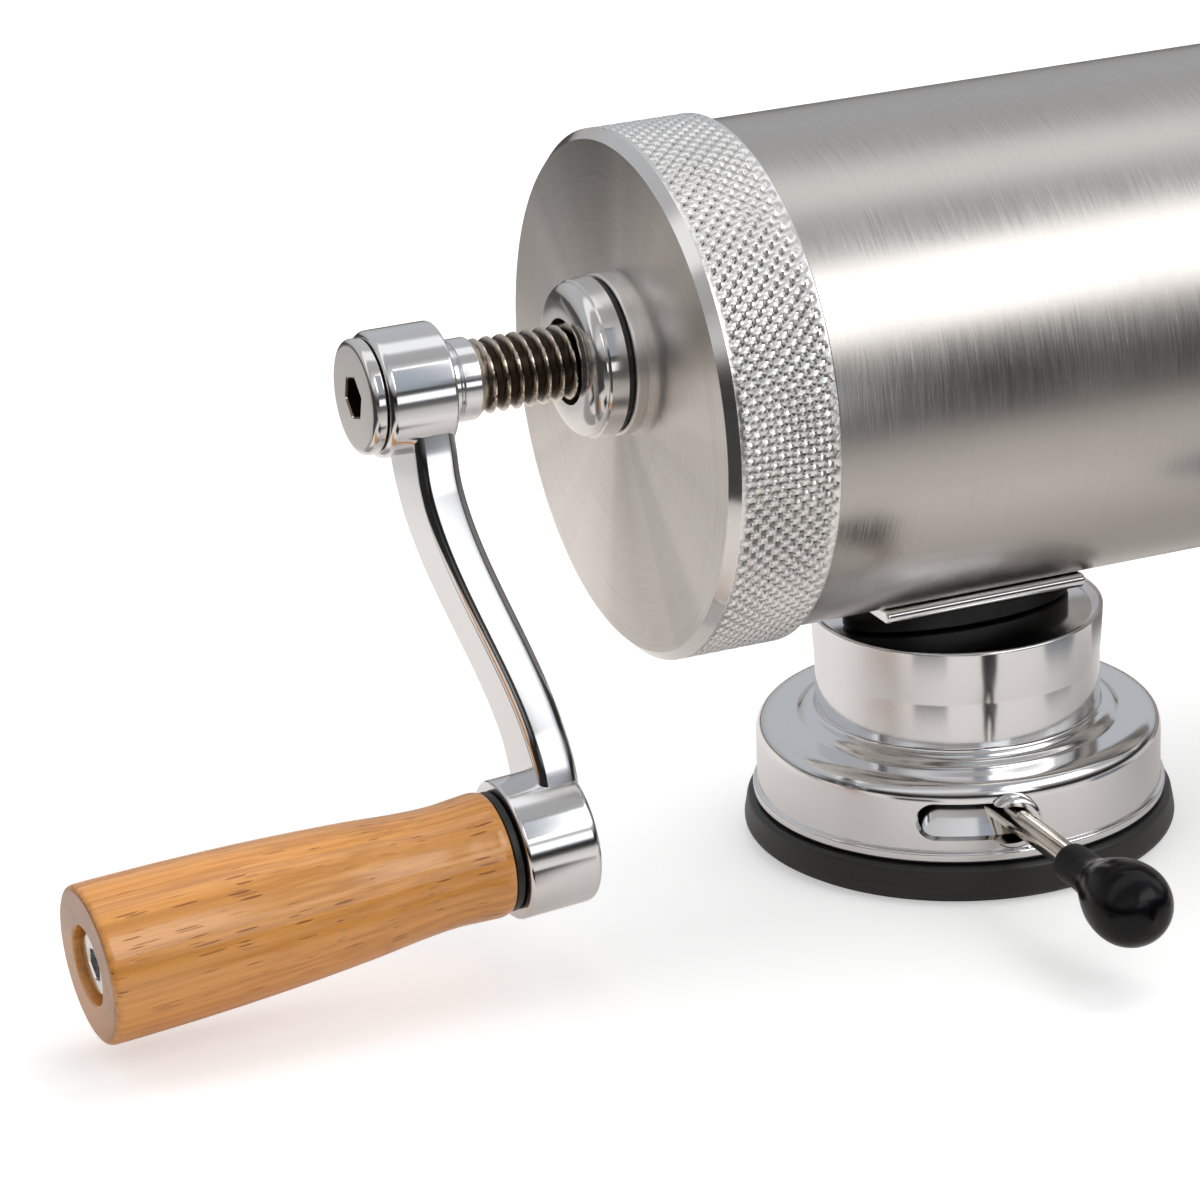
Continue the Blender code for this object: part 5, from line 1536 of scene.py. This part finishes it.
def build_saddle():
    """Cradle that fits the barrel, on its elliptical foot; the cradle's underside and the foot are near-black
    as painted shade.
    """

    # painted shade: faces of the cradle that look down take the near-black steel
    def top_or_underside(polygon):
        return 1 if polygon.normal.z < -0.6 else 0

    piece(
        "saddle_cradle", lofted(cradle_rings()), ["chrome", "shade_black_steel"], UNMOVED, "barrel_and_base",
        ["saddle"], top_or_underside,
    )
    bottom = DISH_HEIGHT + GAP
    top = AXIS_HEIGHT - BARREL_RADIUS - GAP - SADDLE_THICKNESS / 2
    half_length, half_width = SADDLE_FOOT_LENGTH / 2, SADDLE_FOOT_WIDTH / 2
    plan = []
    for index in range(ROUND_STEPS):
        angle = math.tau * index / ROUND_STEPS
        plan.append((half_length * math.cos(angle), half_width * math.sin(angle)))
    levels = ((bottom, 1 - GAP / half_width), (bottom + GAP, 1), (top, 1))
    rings = [[(along * share, across * share, level) for along, across in plan] for level, share in levels]
    piece("saddle_foot", lofted(rings), ["shade_black_steel"], UNMOVED, "barrel_and_base")


def rod_centre(share):
    """Middle of the lever rod, which arches slightly between cam and knob."""
    reach = ROD_INNER + (-KNOB_START + KNOB_SOCKET_DEPTH - ROD_INNER) * share
    return Vector((-ROD_OFFSET, -reach, ROD_RISE * math.sin(math.pi * share)))


def build_rod():
    """Round rod that thickens outside the slot."""
    across = Vector((1, 0, 0))
    rings = []
    for station in range(ROD_STATIONS + 1):
        share = station / ROD_STATIONS
        centre = rod_centre(share)
        along = (rod_centre(share + SLOPE_SHARE) - rod_centre(share - SLOPE_SHARE)).normalized()
        upward = across.cross(along).normalized()
        radius = ROD_RADIUS + ROD_SWELL * smoothstep((-centre.y - ROD_SWELL_START) / ROD_SWELL_START * 4)
        ring = []
        for index in range(SMALL_STEPS):
            angle = math.tau * index / SMALL_STEPS
            ring.append(centre + radius * (math.cos(angle) * across + math.sin(angle) * upward))
        rings.append(ring)
    piece("lever_rod_bent", lofted(rings), ["nickel_rod"], LEVER_AXIS, "base_lever", ["lever_rod"])


def build_knob():
    """Ball and sleeve, moulded in one."""
    length = KNOB_START - KNOB_END
    profile = [(length * share, KNOB_BALL_RADIUS * reach) for share, reach in KNOB_PROFILE_SHARES]
    shape = turned([(0, 0)] + eased(profile, 8), closed=False)
    piece("knob_moulded", shape, ["knob_plastic"], KNOB_AXIS, "base_lever", ["lever_knob"])


def build_shutter():
    """Curved sloping plate that closes the slot behind the rod."""
    outer = HOUSING_BORE - SHUTTER_CLEARANCE
    low = LEVER_HEIGHT - SLOT_HEIGHT * SHUTTER_BELOW_SHARE
    high = LEVER_HEIGHT + SLOT_HEIGHT * SHUTTER_ABOVE_SHARE
    top = outer - SHUTTER_SLOPE
    section = ((outer, low), (top, high), (top - SHUTTER_WALL, high), (outer - SHUTTER_WALL, low))
    start = SLOT_START + LEVER_SWING + 2 * SLOT_REACH
    end = SLOT_END - 2 * SLOT_REACH
    rings = []
    for index in range(SMALL_STEPS + 1):
        angle = start + (end - start) * index / SMALL_STEPS
        toward = Vector((math.cos(angle), math.sin(angle), 0))
        rings.append([radius * toward + Vector((0, 0, height)) for radius, height in section])
    piece("slot_shutter", lofted(rings), ["chrome"], UNMOVED, "base_lever")


INNER_FINISHES = {
    "rubber": ("rear_gasket", "front_gasket", "gland_ring", "piston_seal"),
    "bronze": ("lead_nut",),
    "brass": ("cam_ring", "stem_nut"),
    "inner_steel": (
        "piston_front", "piston_backing", "piston_bolt_1", "piston_bolt_2", "piston_bolt_3", "swivel_washer",
        "swivel_screw", "guide_plate", "lift_plate", "pull_stem", "saddle_screw_1", "saddle_screw_2",
    ),
}


def finish_inner():
    """Give the nodes that stay as packed their own finishes."""
    for name, nodes in INNER_FINISHES.items():
        for node in nodes:
            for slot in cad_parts[node].material_slots:
                slot.material = material(name)


# Stage


def build_floor():
    """Wide pale floor under the pad."""
    mesh = bpy.data.meshes.new("studio_floor")
    corners = [(x * FLOOR_HALF, y * FLOOR_HALF, 0) for x, y in ((-1, -1), (1, -1), (1, 1), (-1, 1))]
    mesh.from_pydata(corners, [], [(0, 1, 2, 3)])
    mesh.materials.append(material("floor_paint"))
    add_object("studio_floor", mesh)


def soft_light(name, place, width, height, power, mirrored):
    """Rectangular light that faces the object; the metal may be kept from mirroring it."""
    data = bpy.data.lights.new(name, "AREA")
    data.shape = "RECTANGLE"
    data.size = width
    data.size_y = height
    data.energy = power
    light = add_object(name, data)
    light.location = place
    light.rotation_euler = (Vector(LIGHT_TARGET) - Vector(place)).to_track_quat("-Z", "Y").to_euler()
    light.visible_glossy = mirrored


LIGHT_TARGET = (0, 0, 0.08)
FLOOR_HALF = 4.0
# Painted reflection in the floor: light that the floor sends to the metal at shares of a distance, its tint,
# and its
# darker patches: between which directions in degrees, how near and how far, and their colour; their edges
# sway by some degrees
FLOOR_CENTRE = (-0.06, 0.06, 0)
FLOOR_REACH = 0.8
FLOOR_WARMTH = (1, 0.955, 0.91)
FLOOR_LIGHT = (
    (0, 0.95), (0.125, 0.92), (0.225, 0.80), (0.275, 0.66), (0.375, 0.52), (0.575, 0.13), (0.75, 0.10),
    (1, 0.06),
)
FLOOR_SHADES = (
    (211, 234, 0.096, 0.150, (0.012, 0.010, 0.010)),
    (311, 336, 0.092, 0.170, (0.16, 0.18, 0.21)),
    (5, 50, 0.092, 0.200, (0.20, 0.19, 0.18)),
    (150, 222, 0.230, 4.000, (0.02, 0.02, 0.02)),
)
FLOOR_SWAY = 26.0
# Painted darker strip in the floor that the arm's rear face mirrors: between which x + slope * y, the slope
# and its colour
FLOOR_STRIP = (-0.152, -0.112, 0.426, (0.34, 0.325, 0.32))
# Cards in front: name, four corners from the lower left, the border's share, colours inside and of the border
STUDIO_CARDS = (
    (
        "side_card",
        ((-0.075, -0.35, 0.066), (0.092, -0.33, 0.066), (0.092, -0.33, 0.150), (-0.075, -0.35, 0.150)),
        0.10,
        (1.4, 1.4, 1.4),
        (0.34, 0.38, 0.44),
    ),
    (
        "hub_card",
        ((-0.067, -0.23, 0.150), (-0.015, -0.23, 0.150), (0.042, -0.23, 0.420), (-0.032, -0.23, 0.420)),
        0.06,
        (0.33, 0.37, 0.42),
        (0.02, 0.02, 0.02),
    ),
)
# Brightness of the studio round the barrel's axis, by degrees from the front horizon over the top
STUDIO_LIGHT = (
    (-180, (0.08, 0.08, 0.08)),
    (-14, (0.06, 0.06, 0.06)),
    (0, (0.14, 0.13, 0.12)),
    (14, (0.34, 0.32, 0.30)),
    (24, (0.45, 0.44, 0.43)),
    (40, (0.80, 0.80, 0.80)),
    (60, (0.55, 0.55, 0.55)),
    (66, (0.42, 0.42, 0.42)),
    (84, (0.46, 0.46, 0.46)),
    (92, (1.05, 1.05, 1.05)),
    (108, (1.05, 1.05, 1.05)),
    (118, (0.52, 0.52, 0.53)),
    (156, (0.52, 0.54, 0.57)),
    (174, (0.46, 0.45, 0.45)),
    (180, (0.30, 0.29, 0.28)),
)


def build_world():
    """Studio of bright and dark bands round the barrel's axis, dim along the horizon."""
    world = bpy.data.worlds.new("studio")
    world.use_nodes = True
    bpy.context.scene.world = world
    tree = world.node_tree
    _, side, up = axes_of(tree, put(tree, "ShaderNodeTexCoord").outputs["Generated"])
    turn = math_of(tree, "DEGREES", math_of(tree, "ARCTAN2", up, times(tree, side, -1.0)))
    stops = [(degrees / 360 + 0.5, colour) for degrees, colour in STUDIO_LIGHT]
    walls = ramp(tree, scaled(tree, turn, 1 / 360, 0.5), stops)
    clear = math_of(tree, "MAXIMUM", remap(tree, up, 0.10, 0.36, 0.06, 1.0), remap(tree, side, 0.1, 0.5))
    walls = blend_colours(tree, clear, (0.0, 0.0, 0.0), walls)
    seen = put(tree, "ShaderNodeLightPath").outputs["Is Camera Ray"]
    background = tree.nodes["Background"]
    tree.links.new(blend_colours(tree, seen, walls, (1.2, 1.2, 1.2)), background.inputs["Color"])
    background.inputs["Strength"].default_value = bpy.context.scene.stuffer_stage.world_strength


def build_card(name, corners, border, inner, outer):
    """Card that only the metal mirrors, with a border of another brightness."""
    low_left, low_right, high_right, high_left = (Vector(corner) for corner in corners)
    shares = (0, border, 1 - border, 1)
    verts = []
    for rise in shares:
        for share in shares:
            verts.append(low_left.lerp(low_right, share).lerp(high_left.lerp(high_right, share), rise))
    faces, kinds = [], []
    for row in range(3):
        for column in range(3):
            first = row * 4 + column
            faces.append((first, first + 1, first + 5, first + 4))
            kinds.append(0 if row == column == 1 else 1)
    mesh = bpy.data.meshes.new(name)
    mesh.from_pydata(verts, [], faces)
    for part, light in (("inner", inner), ("border", outer)):
        paint, _, _ = surface(
            f"{name}_{part}", 0, 1, Base_Color=(0, 0, 0, 1), Specular_IOR_Level=0, Emission_Color=(*light, 1),
            Emission_Strength=1,
        )
        mesh.materials.append(paint)
    mesh.polygons.foreach_set("material_index", kinds)
    card = add_object(name, mesh)
    card.visible_camera = card.visible_diffuse = card.visible_shadow = False


def build_camera():
    """The photograph's view."""
    data = bpy.data.cameras.new("photo_view")
    data.lens = CAMERA_LENS
    data.sensor_width = CAMERA_SENSOR
    data.clip_start, data.clip_end = CAMERA_CLIP
    camera = add_object("photo_view", data)
    camera.matrix_world = Matrix.Translation(CAMERA_PLACE) @ Matrix(CAMERA_ROWS).to_4x4()
    bpy.context.scene.camera = camera


def build_stage():
    """Floor, surroundings, lights, cards and camera."""
    settings = bpy.context.scene.stuffer_stage
    build_floor()
    build_world()
    soft_light("front_light", (0.60, -1.13, 1.10), 1.6, 0.90, settings.key_power, True)
    soft_light("top_light", (0.50, 0.32, 1.45), 1.6, 0.70, settings.top_power, False)
    for card in STUDIO_CARDS:
        build_card(*card)
    build_camera()
    bpy.context.scene.view_settings.view_transform = "Standard"


# Add-on


class BuildBarrel(bpy.types.Operator):
    """Build the brushed barrel"""

    bl_idname = "stuffer.barrel"
    bl_label = "Barrel"

    def execute(self, context):
        build_barrel()
        return {"FINISHED"}


class BuildRearCap(bpy.types.Operator):
    """Build the knurled rear cap with its off-centre boss"""

    bl_idname = "stuffer.rear_cap"
    bl_label = "Rear cap"

    def execute(self, context):
        build_rear_cap()
        return {"FINISHED"}


class BuildScrew(bpy.types.Operator):
    """Build the gland nut, the lead screw and the collar"""

    bl_idname = "stuffer.screw"
    bl_label = "Lead screw and gland nut"

    def execute(self, context):
        build_gland()
        build_lead_screw()
        build_spacer()
        return {"FINISHED"}


class BuildCrank(bpy.types.Operator):
    """Build the crank with its end screw"""

    bl_idname = "stuffer.crank"
    bl_label = "Crank"

    def execute(self, context):
        build_crank()
        build_end_screw()
        return {"FINISHED"}


class BuildGrip(bpy.types.Operator):
    """Build the beech grip, its washers and its bolt"""

    bl_idname = "stuffer.grip"
    bl_label = "Grip"

    def execute(self, context):
        build_grip()
        return {"FINISHED"}


class BuildFront(bpy.types.Operator):
    """Build the front ring and the nozzle"""

    bl_idname = "stuffer.front"
    bl_label = "Front ring and nozzle"

    def execute(self, context):
        build_front()
        return {"FINISHED"}


class BuildBase(bpy.types.Operator):
    """Build the pad, the base shell and the saddle"""

    bl_idname = "stuffer.base"
    bl_label = "Base"

    def execute(self, context):
        build_pad()
        build_housing()
        build_saddle()
        return {"FINISHED"}


class BuildLever(bpy.types.Operator):
    """Build the suction lever"""

    bl_idname = "stuffer.lever"
    bl_label = "Suction lever"

    def execute(self, context):
        build_rod()
        build_knob()
        build_shutter()
        return {"FINISHED"}


class FinishInner(bpy.types.Operator):
    """Finish the piston, the seals and the suction mechanism"""

    bl_idname = "stuffer.inner"
    bl_label = "Inner pieces"

    def execute(self, context):
        finish_inner()
        return {"FINISHED"}


class BuildStage(bpy.types.Operator):
    """Build the floor, the light and the camera"""

    bl_idname = "stuffer.stage"
    bl_label = "Stage"

    def execute(self, context):
        build_stage()
        return {"FINISHED"}


class StufferPanel(bpy.types.Panel):
    """Sizes, colours and steps of the stuffer"""

    bl_idname = "STUFFER_PT_panel"
    bl_label = "Sausage stuffer"
    bl_space_type = "VIEW_3D"
    bl_region_type = "UI"
    bl_category = "Stuffer"

    def draw(self, context):
        for name in SETTINGS:
            settings = getattr(context.scene, name)
            box = self.layout.box()
            for key in settings.bl_rna.properties.keys():
                if key not in ("rna_type", "name"):
                    box.prop(settings, key)
        for step in STEPS:
            self.layout.operator(step.bl_idname)


STEPS = (
    BuildBarrel,
    BuildRearCap,
    BuildScrew,
    BuildCrank,
    BuildGrip,
    BuildFront,
    BuildBase,
    BuildLever,
    FinishInner,
    BuildStage,
)
SETTINGS = {
    "stuffer_shapes": StufferShapes,
    "stuffer_finishes": StufferFinishes,
    "stuffer_stage": StufferStage,
}


def register():
    """Make the settings, the operators and the panel known to Blender."""
    for kind in (*SETTINGS.values(), *STEPS, StufferPanel):
        bpy.utils.register_class(kind)
    for name, kind in SETTINGS.items():
        setattr(bpy.types.Scene, name, PointerProperty(type=kind))


def unregister():
    """Take them away again."""
    for name in SETTINGS:
        delattr(bpy.types.Scene, name)
    for kind in (StufferPanel, *reversed(STEPS), *SETTINGS.values()):
        bpy.utils.unregister_class(kind)


def main():
    """Build everything in order."""
    register()
    for step in STEPS:
        group, name = step.bl_idname.split(".")
        getattr(getattr(bpy.ops, group), name)()


if __name__ == "__main__":
    main()
